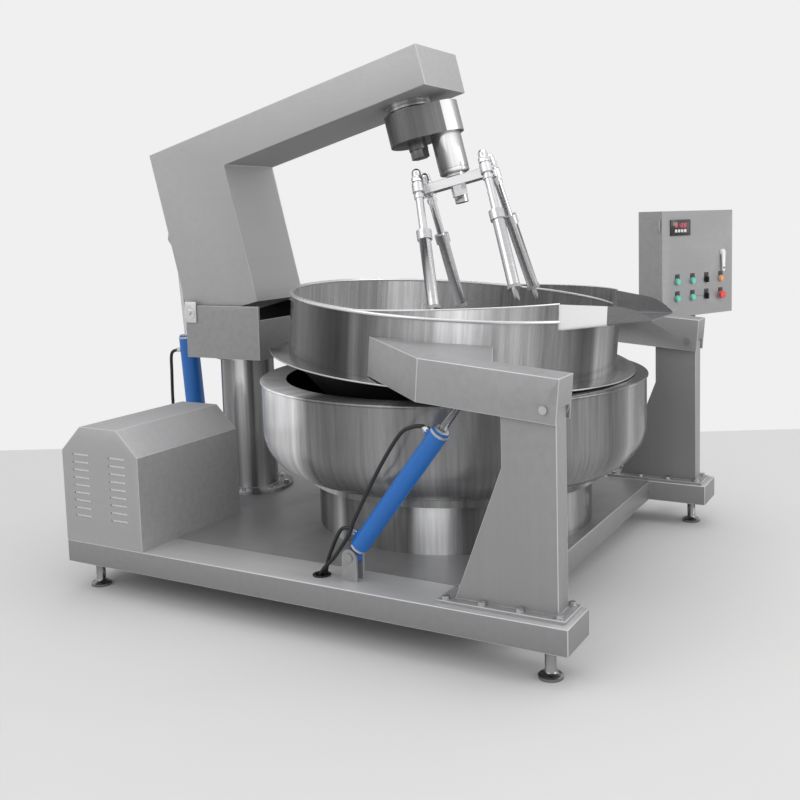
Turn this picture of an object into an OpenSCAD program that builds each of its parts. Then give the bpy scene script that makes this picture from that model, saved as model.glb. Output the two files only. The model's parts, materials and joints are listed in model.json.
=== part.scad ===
// Tilting planetary cooking kettle: a gas heated pot between two posts, tipped by one hydraulic
// cylinder, under a gooseneck arm that a second cylinder tilts back.
// X runs along the two beams, Y from the front beam to the rear beam, Z up from the floor.

/* [Base frame] */
// Length of the front and rear beams
beam_len = 2200; // [2190:5:2300]
// Depth from the face of the front beam to the back of the rear beam
base_depth = 2036; // [2024:4:2080]
// Width of each beam
beam_w = 200; // [190:2:204]
// Height of each beam
beam_h = 92; // [80:1:110]
// Wall of the beams and cross members
beam_wall = 4; // [3:0.5:6]
// Clear height under the beams
leg_h = 115; // [95:5:150]
// Length of the floor plate
floor_len = 1933; // [1900:5:1990]
// Thickness of the floor plate
floor_t = 5; // [3:0.5:8]
// Width of each cross member
cross_w = 60; // [50:2:80]
// Radius of a levelling foot
foot_r = 42; // [34:1:50]
// Radius of the levelling screws
foot_screw_r = 12; // [8:0.5:16]
// Radius of the sleeve over each levelling screw
foot_sleeve_r = 19; // [17:0.5:24]

/* [Power pack] */
// Width of the power pack cover
cover_w = 418; // [400:2:440]
// Depth of the power pack cover
cover_d = 614; // [600:2:620]
// Height of the cover above the beams
cover_h = 484; // [460:4:520]
// Height of the upright sides of the cover
cover_side_h = 381; // [350:2:400]
// Width of the flat top of the cover
cover_top_w = 203; // [160:2:240]
// Sheet thickness of the cover
cover_t = 2; // [1.5:0.5:4]
// Louvres in each column
louvre_count = 9; // [5:1:10]
// Width of a louvre
louvre_w = 88; // [60:2:100]
// Pitch of the louvres
louvre_pitch = 32; // [24:1:34]

/* [Column and arm] */
// Distance of the column from the left end of the beams
column_x = 172; // [168:1:180]
// Radius of the column tube
column_r = 128; // [110:1:135]
// Wall of the column tube
column_wall = 8; // [5:0.5:14]
// Radius of the column foot flange
column_foot_r = 200; // [195:1:206]
// Height of the arm pivot above the beams
arm_pivot_h = 875; // [850:5:900]
// Distance of the arm pivot to the left of the column
arm_pivot_back = 169; // [160:1:172]
// Radius of the arm pivot pin
arm_pin_r = 20; // [14:0.5:24]
// Width of the arm across its flat sides
arm_w = 368; // [340:2:376]
// Front to back size of the upright part of the arm
mast_d = 424; // [400:2:430]
// Height of the top of the boom above the arm pivot
boom_top_h = 785; // [765:5:800]
// Height of the boom section
boom_h = 175; // [160:1:185]
// How far the boom reaches past the pot axis
boom_end = 195; // [150:1:220]
// Plate thickness of the arm
arm_wall = 8; // [5:0.5:10]
// How far the arm is tilted back
arm_tilt = 14.2; // [13.8:0.1:14.6]

/* [Pot] */
// Distance of the pot axis from the left end of the beams
pot_x = 1300; // [1296:1:1306]
// Inner radius of the pot
pot_r = 700; // [690:1:703]
// Wall of the pot
pot_wall = 3; // [2:0.5:4]
// Height of the straight collar of the pot
collar_h = 250; // [240:1:254]
// Depth of the dished bottom below the collar
bowl_depth = 370; // [350:2:376]
// Height of the rim above the beams when the pot is level
rim_h = 881; // [877:1:886]
// Radius of the rim bead
bead_r = 7; // [4:0.5:9]
// Outer radius of the pot flange
flange_r = 785; // [770:1:792]
// Thickness of the pot flange
flange_t = 6; // [4:0.5:8]
// Height of the splash guard at the spout
guard_h = 62; // [40:1:80]
// Half angle of the spout mouth
spout_half = 30; // [26:1:33]
// Reach of the spout tip from the pot axis
spout_reach = 905; // [880:5:920]
// How far the pot is tipped
pot_tilt = 5; // [4.8:0.1:5.4]

/* [Furnace] */
// Radius of the furnace shell
shell_r = 826; // [815:1:829]
// Wall of the furnace shell
shell_wall = 4; // [3:0.5:6]
// Inner radius of the seat ring under the pot flange
seat_r = 722; // [716:1:730]
// Height of the straight band of the shell
shell_band = 210; // [180:2:230]
// Height of the round base under the shell
furnace_base_h = 198; // [190:2:206]
// Radius of the round base
furnace_base_r = 595; // [570:1:610]

/* [Posts and pot arms] */
// Distance of the pot pivot from the left end of the beams
pivot_x = 2110; // [2108:1:2116]
// Height of the pot pivot above the beams
pivot_h = 683; // [680:1:688]
// Thickness of a post
post_t = 90; // [80:1:96]
// Height of a pot arm
pot_arm_h = 150; // [144:1:154]
// Width of a pot arm
pot_arm_w = 130; // [124:1:134]
// Plate thickness of the pot arms
pot_arm_wall = 6; // [4:0.5:8]
// Radius of the pot pivot pins
pot_pin_r = 25; // [18:0.5:26]

/* [Hydraulic cylinders] */
// Radius of the rear cylinder barrel
rear_barrel_r = 47; // [42:1:50]
// Radius of the rear cylinder rod
rear_rod_r = 17; // [14:0.5:20]
// Radius of the front cylinder barrel
front_barrel_r = 34; // [31:1:38]
// Radius of the front cylinder rod
front_rod_r = 14; // [11:0.5:16]
// Wall of the barrels
barrel_wall = 8; // [6:0.5:9]
// Radius of the hoses
hose_r = 8; // [6:0.5:9]

/* [Mixing head] */
// Radius of the ring under the boom
head_ring_r = 97; // [90:1:104]
// Height of the planet housing
housing_h = 132; // [120:1:136]
// Radius of the big end of the planet housing
housing_r = 115; // [105:1:122]
// Radius of the small end of the planet housing
housing_end_r = 82; // [76:1:88]
// Distance of the planet shaft from the pot axis
planet_offset = 128; // [120:1:132]
// Direction of the planet shaft
planet_turn = 18; // [0:1:40]
// Radius of the spindle housing
spindle_r = 65; // [58:1:70]
// Radius of the planet shaft
shaft_r = 29; // [24:1:34]
// Half distance between the two ends of the stirrer bar
bar_half = 150; // [140:1:158]
// Direction of the stirrer bar
bar_turn = 14.5; // [0:0.5:60]
// Half distance between the two rods of a pair
rod_pair = 94; // [80:1:100]
// Radius of the scraper rods
rod_r = 17; // [14:0.5:19]
// Radius of the telescopic tubes
tube_r = 25; // [23:0.5:27]
// Outward lean of the rods along the bar
rod_lean = 2.3; // [1.5:0.1:3]
// Outward lean of the rods across the bar
rod_splay = 17.3; // [14:0.1:18]

/* [Control cabinet] */
// Width of the cabinet
cab_w = 550; // [520:5:570]
// Height of the cabinet
cab_h = 525; // [500:5:540]
// Depth of the cabinet with its door
cab_d = 150; // [140:5:170]
// Height of the cabinet floor above the beams
cab_floor_h = 768; // [760:2:780]
// Sheet thickness of the cabinet
cab_t = 2; // [1.5:0.5:3]
// Turn of the cabinet front from the right side of the machine
cab_turn = 24.8; // [20:0.2:28]
// Radius of the push buttons
button_r = 14; // [11:0.5:16]
// Radius of the cabinet pole
pole_r = 24; // [18:1:28]

/* [Hidden] */
$fn = 96;

steel = [0.72, 0.72, 0.73];
polished = [0.80, 0.80, 0.82];
dark = [0.16, 0.16, 0.17];
blue = [0.12, 0.42, 0.80];

// clearances
seat = 0.3;
run = 0.05;

// heights and centres of the main groups
deck = leg_h + beam_h;
mid_y = base_depth / 2;
arm_pivot = [column_x - arm_pivot_back, mid_y, deck + arm_pivot_h];
pot_pivot = [pivot_x, mid_y, deck + pivot_h];
rim_z = deck + rim_h;
flange_z = rim_z - collar_h;
boom_top = arm_pivot[2] + boom_top_h;
boom_bottom = boom_top - boom_h;
cab_z = deck + cab_floor_h;

// outrigger under the rear cylinder
outrig_reach = 280;
outrig_w = 176;
rear_foot = [-150, mid_y, deck + 93];
hose_out = 175;
left_end = rear_foot[0] - hose_out - hose_r;

// frame origin: centre of the footprint, on the floor
cab_pole = [1940, base_depth + 112];
cab_front = 60;
cab_left = -110;
cab_far = [cab_front - cab_d, cab_left + cab_w];
back_end = cab_pole[1] - cab_far[0] * sin(cab_turn) + cab_far[1] * cos(cab_turn);
tip_rise = 12;
right_end = pivot_x + (pot_x + spout_reach - pivot_x) * cos(pot_tilt)
  + (rim_z + tip_rise + 6 - pot_pivot[2]) * sin(pot_tilt);
origin_x = (left_end + right_end) / 2;
origin_y = back_end / 2;

module machine() {
  translate([-origin_x, -origin_y, 0]) children();
}

module about(p, a) {
  translate(p) rotate([0, a, 0]) translate(-p) children();
}

module arm_pose() {
  about(arm_pivot, -arm_tilt) children();
}

module pot_pose() {
  about(pot_pivot, pot_tilt) children();
}

// a part of the rear side, made from the same part at the front
module rear_side() {
  translate([0, base_depth, 0]) mirror([0, 1, 0]) children();
}

module box(from, to) {
  translate(from) cube(to - from);
}

module tube_z(r, wall, z0, z1) {
  difference() {
    translate([0, 0, z0]) cylinder(r = r, h = z1 - z0);
    translate([0, 0, z0 - 1]) cylinder(r = r - wall, h = z1 - z0 + 2);
  }
}

// cylinder along Y, from y0 to y1
module bar_y(r, y0, y1) {
  translate([0, y0, 0]) rotate([-90, 0, 0]) cylinder(r = r, h = y1 - y0);
}

module hex_bolt(head_r, head_h, shank_r, shank_l) {
  cylinder(r = head_r, h = head_h, $fn = 6);
  translate([0, 0, -shank_l]) cylinder(r = shank_r, h = shank_l + 1);
}

// base frame ------ beams, cross members, floor and feet
foot_in_x = 92;
foot_in_y = 84;
foot_spots = [for (x = [foot_in_x, beam_len - foot_in_x], y = [foot_in_y, base_depth - foot_in_y]) [x, y]];
grommet = [1215, 91];
grommet_r = 32;

// base plate of a post and its bolts
plate_t = 12;
plate_w = 160;
plate_from = pivot_x - 390;
plate_to = pivot_x + 70;
post_y = 110;
plate_bolts = [for (i = [0:3], s = [-1, 1])
  [plate_from + 28 + i * (plate_to - plate_from - 56) / 3, post_y + s * (plate_w / 2 - 18)]];
bolt_hole_r = 8.5;
bolt_r = 8;
bolt_head_r = 14;
bolt_head_h = 10;

module beam() {
  difference() {
    box([0, 0, leg_h], [beam_len, beam_w, deck]);
    box([beam_wall, beam_wall, leg_h + beam_wall],
      [beam_len - beam_wall, beam_w - beam_wall, deck - beam_wall]);
    for (x = [foot_in_x, beam_len - foot_in_x])
      translate([x, foot_in_y, leg_h - 1]) cylinder(r = foot_screw_r + seat, h = beam_wall + 2);
    for (p = plate_bolts)
      translate([p[0], p[1], deck - beam_wall - 1]) cylinder(r = bolt_hole_r, h = beam_wall + 2);
  }
}

module front_beam() {
  machine() color(steel) difference() {
    beam();
    translate([grommet[0], grommet[1], deck - beam_wall - 1]) cylinder(r = grommet_r, h = beam_wall + 2);
  }
}

module rear_beam() {
  machine() color(steel) rear_side() beam();
}

cross_from = beam_w + seat;
cross_to = base_depth - beam_w - seat;
cross_top = deck - floor_t;
cross_x = [0, floor_len / 3 - cross_w / 2, floor_len * 2 / 3 - cross_w / 2, floor_len - cross_w];

module cross_members() {
  machine() color(steel) {
    for (x = cross_x) difference() {
      box([x, cross_from, leg_h], [x + cross_w, cross_to, cross_top]);
      box([x + beam_wall, cross_from - 1, leg_h + beam_wall],
        [x + cross_w - beam_wall, cross_to + 1, cross_top - beam_wall]);
    }
    // outrigger that carries the rear cylinder
    difference() {
      box([-outrig_reach, mid_y - outrig_w / 2, leg_h], [-seat, mid_y + outrig_w / 2, deck]);
      box([-outrig_reach + beam_wall, mid_y - outrig_w / 2 + beam_wall, leg_h + beam_wall],
        [1, mid_y + outrig_w / 2 - beam_wall, deck - beam_wall]);
      translate([rear_port[0], rear_port[1], deck - beam_wall - 1])
        cylinder(r = grommet_r, h = beam_wall + 2);
    }
  }
}

module floor_plate() {
  machine() color([0.62, 0.62, 0.63]) difference() {
    box([0, cross_from, cross_top], [floor_len, cross_to, deck]);
    for (a = [0:45:315])
      translate([column_x, mid_y, 0]) rotate(a + 22.5) translate([column_foot_r - 28, 0, cross_top - 1])
        cylinder(r = bolt_hole_r, h = floor_t + 2);
  }
}

// pad, sleeve, screw and lock nut of a levelling foot
module foot() {
  nut_h = 14;
  rotate_extrude() polygon([[0, 0], [foot_r, 0], [foot_r, 10], [foot_r - 6, 15], [foot_sleeve_r + 6, 18],
    [foot_sleeve_r, 25], [foot_sleeve_r, leg_h - nut_h - seat], [foot_screw_r, leg_h - nut_h - seat],
    [foot_screw_r, leg_h + 30], [0, leg_h + 30]]);
  translate([0, 0, leg_h - nut_h]) difference() {
    cylinder(r = foot_sleeve_r + 5, h = nut_h, $fn = 6);
    translate([0, 0, -1]) cylinder(r = foot_screw_r - 1, h = nut_h + 2);
  }
}

module levelling_feet() {
  machine() color(polished) for (p = foot_spots) translate([p[0], p[1], 0]) foot();
}

// hydraulic power pack under a louvred cover
cover_out = [[0, deck], [0, deck + cover_side_h], [(cover_w - cover_top_w) / 2, deck + cover_h],
  [(cover_w + cover_top_w) / 2, deck + cover_h], [cover_w, deck + cover_side_h], [cover_w, deck]];
cover_in = [[cover_t, deck - 1], [cover_t, deck + cover_side_h - cover_t / 2],
  [(cover_w - cover_top_w) / 2 + cover_t / 2, deck + cover_h - cover_t],
  [(cover_w + cover_top_w) / 2 - cover_t / 2, deck + cover_h - cover_t],
  [cover_w - cover_t, deck + cover_side_h - cover_t / 2], [cover_w - cover_t, deck - 1]];
louvre_top = deck + cover_side_h - 8;
louvre_cols = [104, 304];

module along_y(y0, y1) {
  translate([0, y1, 0]) rotate([90, 0, 0]) linear_extrude(y1 - y0) children();
}

module power_pack_cover() {
  hood = 9;
  machine() color(steel) {
    difference() {
      along_y(0, cover_d) polygon(cover_out);
      along_y(cover_t, cover_d - cover_t) polygon(cover_in);
      for (x = louvre_cols, i = [0:louvre_count - 1])
        box([x - louvre_w / 2, -1, louvre_top - i * louvre_pitch - hood],
          [x + louvre_w / 2, cover_t + 1, louvre_top - i * louvre_pitch]);
    }
    // pressed hoods over the slots, inside the sheet plane
    for (x = louvre_cols, i = [0:louvre_count - 1])
      translate([x - louvre_w / 2, 0, louvre_top - i * louvre_pitch])
        rotate([90, 0, 90]) linear_extrude(louvre_w)
          polygon([[0, 1], [cover_t, 1], [cover_t + 7, -hood], [cover_t + 5, -hood]]);
  }
}

tank_from = [50, 120];
tank_size = [310, 400, 180];
tank_wall = 3;
motor_r = 78;
motor_l = 215;

module oil_tank() {
  machine() color(dark) difference() {
    box([tank_from[0], tank_from[1], deck], [tank_from[0] + tank_size[0], tank_from[1] + tank_size[1], deck + tank_size[2]]);
    box([tank_from[0] + tank_wall, tank_from[1] + tank_wall, deck + tank_wall],
      [tank_from[0] + tank_size[0] - tank_wall, tank_from[1] + tank_size[1] - tank_wall, deck + tank_size[2] - tank_wall]);
    translate([tank_from[0] + 50, tank_from[1] + 50, deck + tank_size[2] - tank_wall - 1]) cylinder(r = 22, h = tank_wall + 2);
  }
}

module pump_motor() {
  z0 = deck + tank_size[2];
  machine() color([0.25, 0.33, 0.38]) translate([tank_from[0] + tank_size[0] / 2, tank_from[1] + tank_size[1] / 2, 0]) {
    translate([0, 0, z0]) cylinder(r = motor_r + 12, h = 14);
    difference() {
      translate([0, 0, z0 + 14]) cylinder(r = motor_r, h = motor_l);
      for (a = [0:20:340]) rotate(a) box([motor_r - 8, -3, z0 + 34], [motor_r + 1, 3, z0 + motor_l - 20]);
    }
    translate([0, 0, z0 + 14 + motor_l]) cylinder(r = motor_r - 6, h = 18);
  }
}

// column with its foot and the fork that carries the arm
foot_plate_t = 15;
head_plate_t = 15;
fork_t = 12;
fork_gap = 8;
fork_down = 217;
fork_up = 32;
fork_left = -27;
fork_right = 407;
fork_z0 = arm_pivot[2] - fork_down;
fork_y0 = mid_y - arm_w / 2 - fork_gap - fork_t;
fork_y1 = mid_y + arm_w / 2 + fork_gap + fork_t;

module column() {
  machine() color(polished) translate([column_x, mid_y, 0]) {
    tube_z(column_r, column_wall, deck + foot_plate_t, fork_z0 - head_plate_t);
    difference() {
      translate([0, 0, deck]) cylinder(r = column_foot_r, h = foot_plate_t);
      for (a = [0:45:315]) rotate(a + 22.5) translate([column_foot_r - 28, 0, deck - 1])
        cylinder(r = bolt_hole_r, h = foot_plate_t + 2);
    }
    translate([0, 0, fork_z0 - head_plate_t]) cylinder(r = column_r + 22, h = head_plate_t);
  }
}

module column_head() {
  x0 = arm_pivot[0] + fork_left;
  x1 = arm_pivot[0] + fork_right;
  machine() color(steel) difference() {
    union() {
      box([x0, fork_y0, fork_z0], [x1, fork_y1, fork_z0 + head_plate_t]);
      for (y = [fork_y0, fork_y1 - fork_t])
        box([x0, y, fork_z0], [x1, y + fork_t, arm_pivot[2] + fork_up]);
      box([x1 - fork_t, fork_y0, fork_z0], [x1, fork_y1, arm_pivot[2] - 32]);
    }
    translate([arm_pivot[0], 0, arm_pivot[2]]) bar_y(arm_pin_r + run, fork_y0 - 1, fork_y1 + 1);
  }
}

module arm_pin() {
  lug = 76;
  machine() color(polished) translate([arm_pivot[0], 0, arm_pivot[2]]) {
    bar_y(arm_pin_r, fork_y0 - 4, fork_y1 + 4);
    for (y = [fork_y0 - 10 - seat, fork_y1 + seat])
      intersection() {
        bar_y(arm_pin_r + 15, y, y + 10);
        box([-26, y - 1, -lug], [60, y + 11, lug]);
      }
    bar_y(arm_pin_r - 6, fork_y0 - 18, fork_y0 - 9);
  }
}

// lugs for the foot pins of the two cylinders
lug_t = 12;
rear_eye_w = 44;
front_eye_w = 34;
front_cyl_y = 105;
front_foot = [1345, front_cyl_y, deck + 88];
foot_pin_r = 16;
eye_mid = front_eye_w / 2 + 2 + 4;

// two lug plates standing on the deck on each side of an eye
module lug_pair(p, eye_w, pin_r, half) {
  for (s = [0, 1]) mirror([0, s, 0]) difference() {
    translate([0, eye_w / 2 + 1, 0]) union() {
      bar_y(half, 0, lug_t);
      box([-half, 0, deck - p[2]], [half, lug_t, 0]);
    }
    bar_y(pin_r + run, 0, eye_w / 2 + lug_t + 3);
  }
  bar_y(pin_r, -eye_w / 2 - lug_t - 6, eye_w / 2 + lug_t + 6);
}

module cylinder_lugs() {
  machine() color(steel) {
    translate(rear_foot) lug_pair(rear_foot, rear_eye_w, foot_pin_r + 4, 38);
    translate(front_foot) lug_pair(front_foot, front_eye_w, foot_pin_r, 30);
  }
}

// furnace under the pot
shell_top = flange_z - flange_t - seat;
shell_foot = deck + furnace_base_h;
shell_ring_r = 640;
shell_ring_h = 34;
curve_n = 14;
band_z = shell_top - shell_band;
curve_in = shell_r - shell_ring_r + 10;
curve_h = band_z - shell_foot - shell_ring_h;

// points of the quarter curve from the band in to the foot ring, for a radius less by w
function shell_curve(w) = [for (i = [0:curve_n]) let (a = 90 * i / curve_n)
  [shell_r - w - curve_in + curve_in * cos(a), band_z - (curve_h - w) * sin(a)]];

module furnace_shell() {
  inner = shell_ring_r - 10 - 40;
  machine() color(polished) translate([pot_x, mid_y, 0]) rotate_extrude() polygon(concat(
    [[seat_r, shell_top], [shell_r + 4, shell_top], [shell_r + 7, shell_top - 4],
      [shell_r + 4, shell_top - 9], [shell_r, shell_top - 10]],
    shell_curve(0),
    [[shell_ring_r, shell_foot + shell_ring_h], [shell_ring_r, shell_foot], [inner, shell_foot],
      [inner, shell_foot + shell_ring_h + shell_wall]],
    [for (i = [curve_n:-1:0]) shell_curve(shell_wall)[i]],
    [[shell_r - shell_wall, shell_top - shell_wall], [seat_r, shell_top - shell_wall]]));
}

module furnace_base() {
  machine() color(polished) translate([pot_x, mid_y, 0])
    tube_z(furnace_base_r, shell_wall, deck, shell_foot);
}

burner_z = deck + 120;

module gas_burner() {
  machine() color([0.2, 0.2, 0.21]) translate([pot_x, mid_y, 0]) {
    for (r = [110, 220]) translate([0, 0, burner_z]) rotate_extrude() translate([r, 0]) circle(r = 18);
    for (a = [0, 90]) rotate(a) translate([0, 0, burner_z]) rotate([0, 90, 0])
      translate([0, 0, -232]) cylinder(r = 12, h = 464);
    for (a = [0:90:270]) rotate(a) translate([220, 0, deck]) cylinder(r = 14, h = burner_z - deck);
  }
}

// posts that carry the pot pivots
post_x0 = pivot_x - 335;
post_x1 = pivot_x + 35;
post_knee = pivot_x - 157;

module post() {
  z0 = deck + plate_t;
  pz = pot_pivot[2];
  difference() {
    union() {
      difference() {
        along_y(post_y - post_t / 2, post_y + post_t / 2)
          polygon([[post_x0, z0], [post_knee, pz - 205], [post_knee, pz - 10], [pivot_x - 80, pz + 78],
            [post_x1, pz + 78], [post_x1, z0]]);
        along_y(post_y - post_t / 2 + pot_arm_wall, post_y + post_t / 2 - pot_arm_wall)
          polygon([[post_x0 + 10, z0 - 1], [post_knee + 8, pz - 203], [post_knee + 8, pz - 60],
            [post_x1 - 6, pz - 60], [post_x1 - 6, z0 - 1]]);
      }
      box([plate_from, post_y - plate_w / 2, deck], [plate_to, post_y + plate_w / 2, z0]);
    }
    translate([pivot_x, 0, pz]) bar_y(pot_pin_r + run, 0, beam_w);
    for (p = plate_bolts) translate([p[0], p[1], deck - 1]) cylinder(r = bolt_hole_r, h = plate_t + 2);
  }
}

module front_post() {
  machine() color(steel) post();
}

module rear_post() {
  machine() color(steel) rear_side() post();
}

module anchor_bolts() {
  machine() color(polished) {
    for (p = plate_bolts) {
      translate([p[0], p[1], deck + plate_t]) hex_bolt(bolt_head_r, bolt_head_h, bolt_r, plate_t + 14);
      translate([p[0], base_depth - p[1], deck + plate_t]) hex_bolt(bolt_head_r, bolt_head_h, bolt_r, plate_t + 14);
    }
    translate([column_x, mid_y, deck + foot_plate_t]) for (a = [0:45:315])
      rotate(a + 22.5) translate([column_foot_r - 28, 0, 0])
        hex_bolt(bolt_head_r, bolt_head_h, bolt_r, foot_plate_t + floor_t - seat);
  }
}

// pole of the control cabinet, on a tab behind the rear beam
socket_l = 60;
tab = 50;

module cabinet_pole() {
  machine() color(steel) {
    box([cab_pole[0] - tab, base_depth + seat, leg_h], [cab_pole[0] + tab, cab_pole[1] + tab, deck]);
    translate([cab_pole[0], cab_pole[1], deck]) {
      cylinder(r = pole_r + 16, h = 10);
      cylinder(r = pole_r, h = cab_z - seat - deck);
      translate([0, 0, cab_z - socket_l - deck - 14]) cylinder(r = pole_r + 10, h = 14 - seat);
    }
  }
}

// gooseneck arm, drawn lowered and then tilted back
mast_x0 = arm_pivot[0] - 34;
mast_x1 = mast_x0 + mast_d;
boom_x1 = pot_x + boom_end;
arm_y0 = mid_y - arm_w / 2;
arm_y1 = mid_y + arm_w / 2;
mast_z0 = arm_pivot[2] - 42;
lift_pin = [arm_pivot[0] - 144, mid_y, arm_pivot[2] + 398];
lug_y = rear_eye_w / 2 + 1.5;

module mast_shell() {
  machine() arm_pose() color(steel) {
    difference() {
      box([mast_x0, arm_y0, mast_z0], [mast_x1, arm_y1, boom_bottom]);
      box([mast_x0 + arm_wall, arm_y0 + arm_wall, mast_z0 - 1],
        [mast_x1 - arm_wall, arm_y1 - arm_wall, boom_bottom + 1]);
      translate([arm_pivot[0], 0, arm_pivot[2]]) bar_y(arm_pin_r + run, arm_y0 - 1, arm_y1 + 1);
    }
    // bearing bosses inside the side plates
    for (y = [arm_y0 + arm_wall - 1, arm_y1 - arm_wall - 17]) difference() {
      translate([arm_pivot[0], 0, arm_pivot[2]]) bar_y(arm_pin_r + 5, y, y + 18);
      translate([arm_pivot[0], 0, arm_pivot[2]]) bar_y(arm_pin_r + run, y - 1, y + 19);
    }
    // lug plates for the rod of the rear cylinder
    for (s = [0, 1]) translate([0, mid_y, 0]) mirror([0, s, 0])
      translate([0, lug_y, 0]) along_y(0, lug_t)
        polygon([[mast_x0 + 1, lift_pin[2] + 90], [lift_pin[0] - 20, lift_pin[2] + 34],
          [lift_pin[0] - 34, lift_pin[2]], [lift_pin[0] - 20, lift_pin[2] - 34], [mast_x0 + 1, lift_pin[2] - 90]]);
    for (s = [0, 1]) translate([lift_pin[0], mid_y, lift_pin[2]]) mirror([0, s, 0])
      bar_y(22, lug_y + lug_t - 1, lug_y + lug_t + 10);
  }
}

module boom_shell() {
  z0 = boom_bottom;
  machine() arm_pose() color(steel) difference() {
    box([mast_x0, arm_y0, z0], [boom_x1, arm_y1, boom_top]);
    box([mast_x0 + arm_wall, arm_y0 + arm_wall, z0 + arm_wall],
      [boom_x1 - arm_wall, arm_y1 - arm_wall, boom_top - arm_wall]);
    box([mast_x0 + arm_wall, arm_y0 + arm_wall, z0 - 1], [mast_x1 - arm_wall, arm_y1 - arm_wall, z0 + arm_wall + 1]);
    translate([pot_x, mid_y, z0 - 1]) cylinder(r = 50, h = arm_wall + 2);
  }
}

// gear motor lying in the boom, over the mixing head
module drive_motor() {
  h = boom_h - 2 * arm_wall;
  zc = boom_bottom + boom_h / 2;
  machine() arm_pose() color([0.25, 0.33, 0.38]) translate([pot_x, mid_y, 0]) {
    box([-85, -75, boom_bottom + arm_wall], [85, 75, boom_top - arm_wall - 6]);
    translate([-85, 0, zc]) rotate([0, -90, 0]) cylinder(r = h / 2 - 9, h = 250);
    translate([-334, 0, zc]) rotate([0, -90, 0]) cylinder(r = h / 2 - 6, h = 40);
  }
}

head_ring_h = 40;
neck_r = 40;

module head_ring() {
  z0 = boom_bottom - head_ring_h;
  machine() arm_pose() color(polished) translate([pot_x, mid_y, 0]) difference() {
    union() {
      translate([0, 0, z0]) cylinder(r = head_ring_r - 6, h = head_ring_h);
      translate([0, 0, z0 + 10]) cylinder(r = head_ring_r, h = head_ring_h - 10);
    }
    translate([0, 0, z0 - 1]) cylinder(r = neck_r + run, h = head_ring_h + 2);
  }
}

// planet housing turns with its neck in the ring; the stirrer turns on the planet shaft
housing_top = boom_bottom - head_ring_h - 3;
housing_z0 = housing_top - housing_h;
spindle_z0 = housing_z0 - 172;
bar_top = spindle_z0 - 14;
bar_h = 40;
bar_t = 72;

function polar(r, a) = [r * cos(a), r * sin(a)];

// outline round two circles of different radius, a distance d apart
module two_circle(r1, r2, d) {
  a = acos((r1 - r2) / d);
  circle(r = r1);
  translate([d, 0]) circle(r = r2);
  polygon([polar(r1, a), [d + r2 * cos(a), r2 * sin(a)], [d + r2 * cos(a), -r2 * sin(a)], polar(r1, -a)]);
}

module planet_housing() {
  machine() arm_pose() color(polished) translate([pot_x, mid_y, 0]) rotate(planet_turn) {
    difference() {
      union() {
        translate([0, 0, housing_z0]) linear_extrude(housing_h) two_circle(housing_r, housing_end_r, planet_offset);
        translate([planet_offset, 0, spindle_z0]) cylinder(r = spindle_r, h = 173);
      }
      translate([planet_offset, 0, spindle_z0 - 1]) cylinder(r = shaft_r + run, h = 161);
    }
    translate([0, 0, housing_top - 1]) cylinder(r = neck_r + 20, h = 3);
    translate([0, 0, housing_top - 1]) cylinder(r = neck_r, h = head_ring_h + 8);
    // bearing cap on the centre line
    translate([0, 0, housing_z0 - 34]) cylinder(r = neck_r + 2, h = 35);
    translate([0, 0, housing_z0 - 70]) cylinder(r = neck_r, h = 37, $fn = 6);
  }
}

module on_planet() {
  translate([pot_x, mid_y, 0]) rotate(planet_turn) translate([planet_offset, 0, 0]) rotate(bar_turn - planet_turn) children();
}

shaft_nut = 46;

module planet_shaft() {
  z0 = bar_top - bar_h - 75;
  machine() arm_pose() color(polished) on_planet() {
    translate([0, 0, z0]) cylinder(r = shaft_r, h = spindle_z0 + 158 - z0);
    translate([0, 0, bar_top - bar_h - seat - shaft_nut]) cylinder(r = shaft_r + 5, h = shaft_nut, $fn = 6);
    translate([0, 0, spindle_z0 - 12]) cylinder(r = shaft_r + 12, h = 11);
  }
}

// one scraper rod leans out from its place on the bar; children are drawn along it, down from the bar
module lean(sx, sy) {
  translate([sx * bar_half, sy * rod_pair, bar_top]) rotate([sy * rod_splay, -sx * rod_lean, 0]) children();
}

corners = [[-1, -1], [-1, 1], [1, -1], [1, 1]];

module stirrer_bar() {
  boss = rod_r + 9;
  machine() arm_pose() color(polished) on_planet() difference() {
    union() {
      box([-bar_half, -bar_t / 2, bar_top - bar_h], [bar_half, bar_t / 2, bar_top]);
      for (s = [-1, 1]) box([s * bar_half - 12, -rod_pair, bar_top - bar_h], [s * bar_half + 12, rod_pair, bar_top]);
      for (c = corners) lean(c[0], c[1]) translate([0, 0, -bar_h]) cylinder(r = boss, h = bar_h);
    }
    translate([0, 0, bar_top - bar_h - 1]) cylinder(r = shaft_r + run, h = bar_h + 2);
    for (c = corners) lean(c[0], c[1]) translate([0, 0, -bar_h - 20]) cylinder(r = rod_r + run, h = bar_h + 40);
  }
}

rod_len = 470;
tube_top = -215;
tube_len = 335;
collar_len = 42;
rod_nut = 46;

module scraper_rods() {
  machine() arm_pose() color(polished) on_planet() for (c = corners) lean(c[0], c[1]) {
    translate([0, 0, -rod_len]) cylinder(r = rod_r, h = rod_len + 12);
    // stop collar under the bar and domed nut above it
    translate([0, 0, -bar_h - 28]) cylinder(r = rod_r + 5, h = 16);
    translate([0, 0, 9]) cylinder(r = rod_r + 8, h = rod_nut - 23, $fn = 6);
    translate([0, 0, rod_nut - 15]) cylinder(r = rod_r + 3, h = 20);
    translate([0, 0, rod_nut + 5]) sphere(r = rod_r + 3);
  }
}

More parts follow.
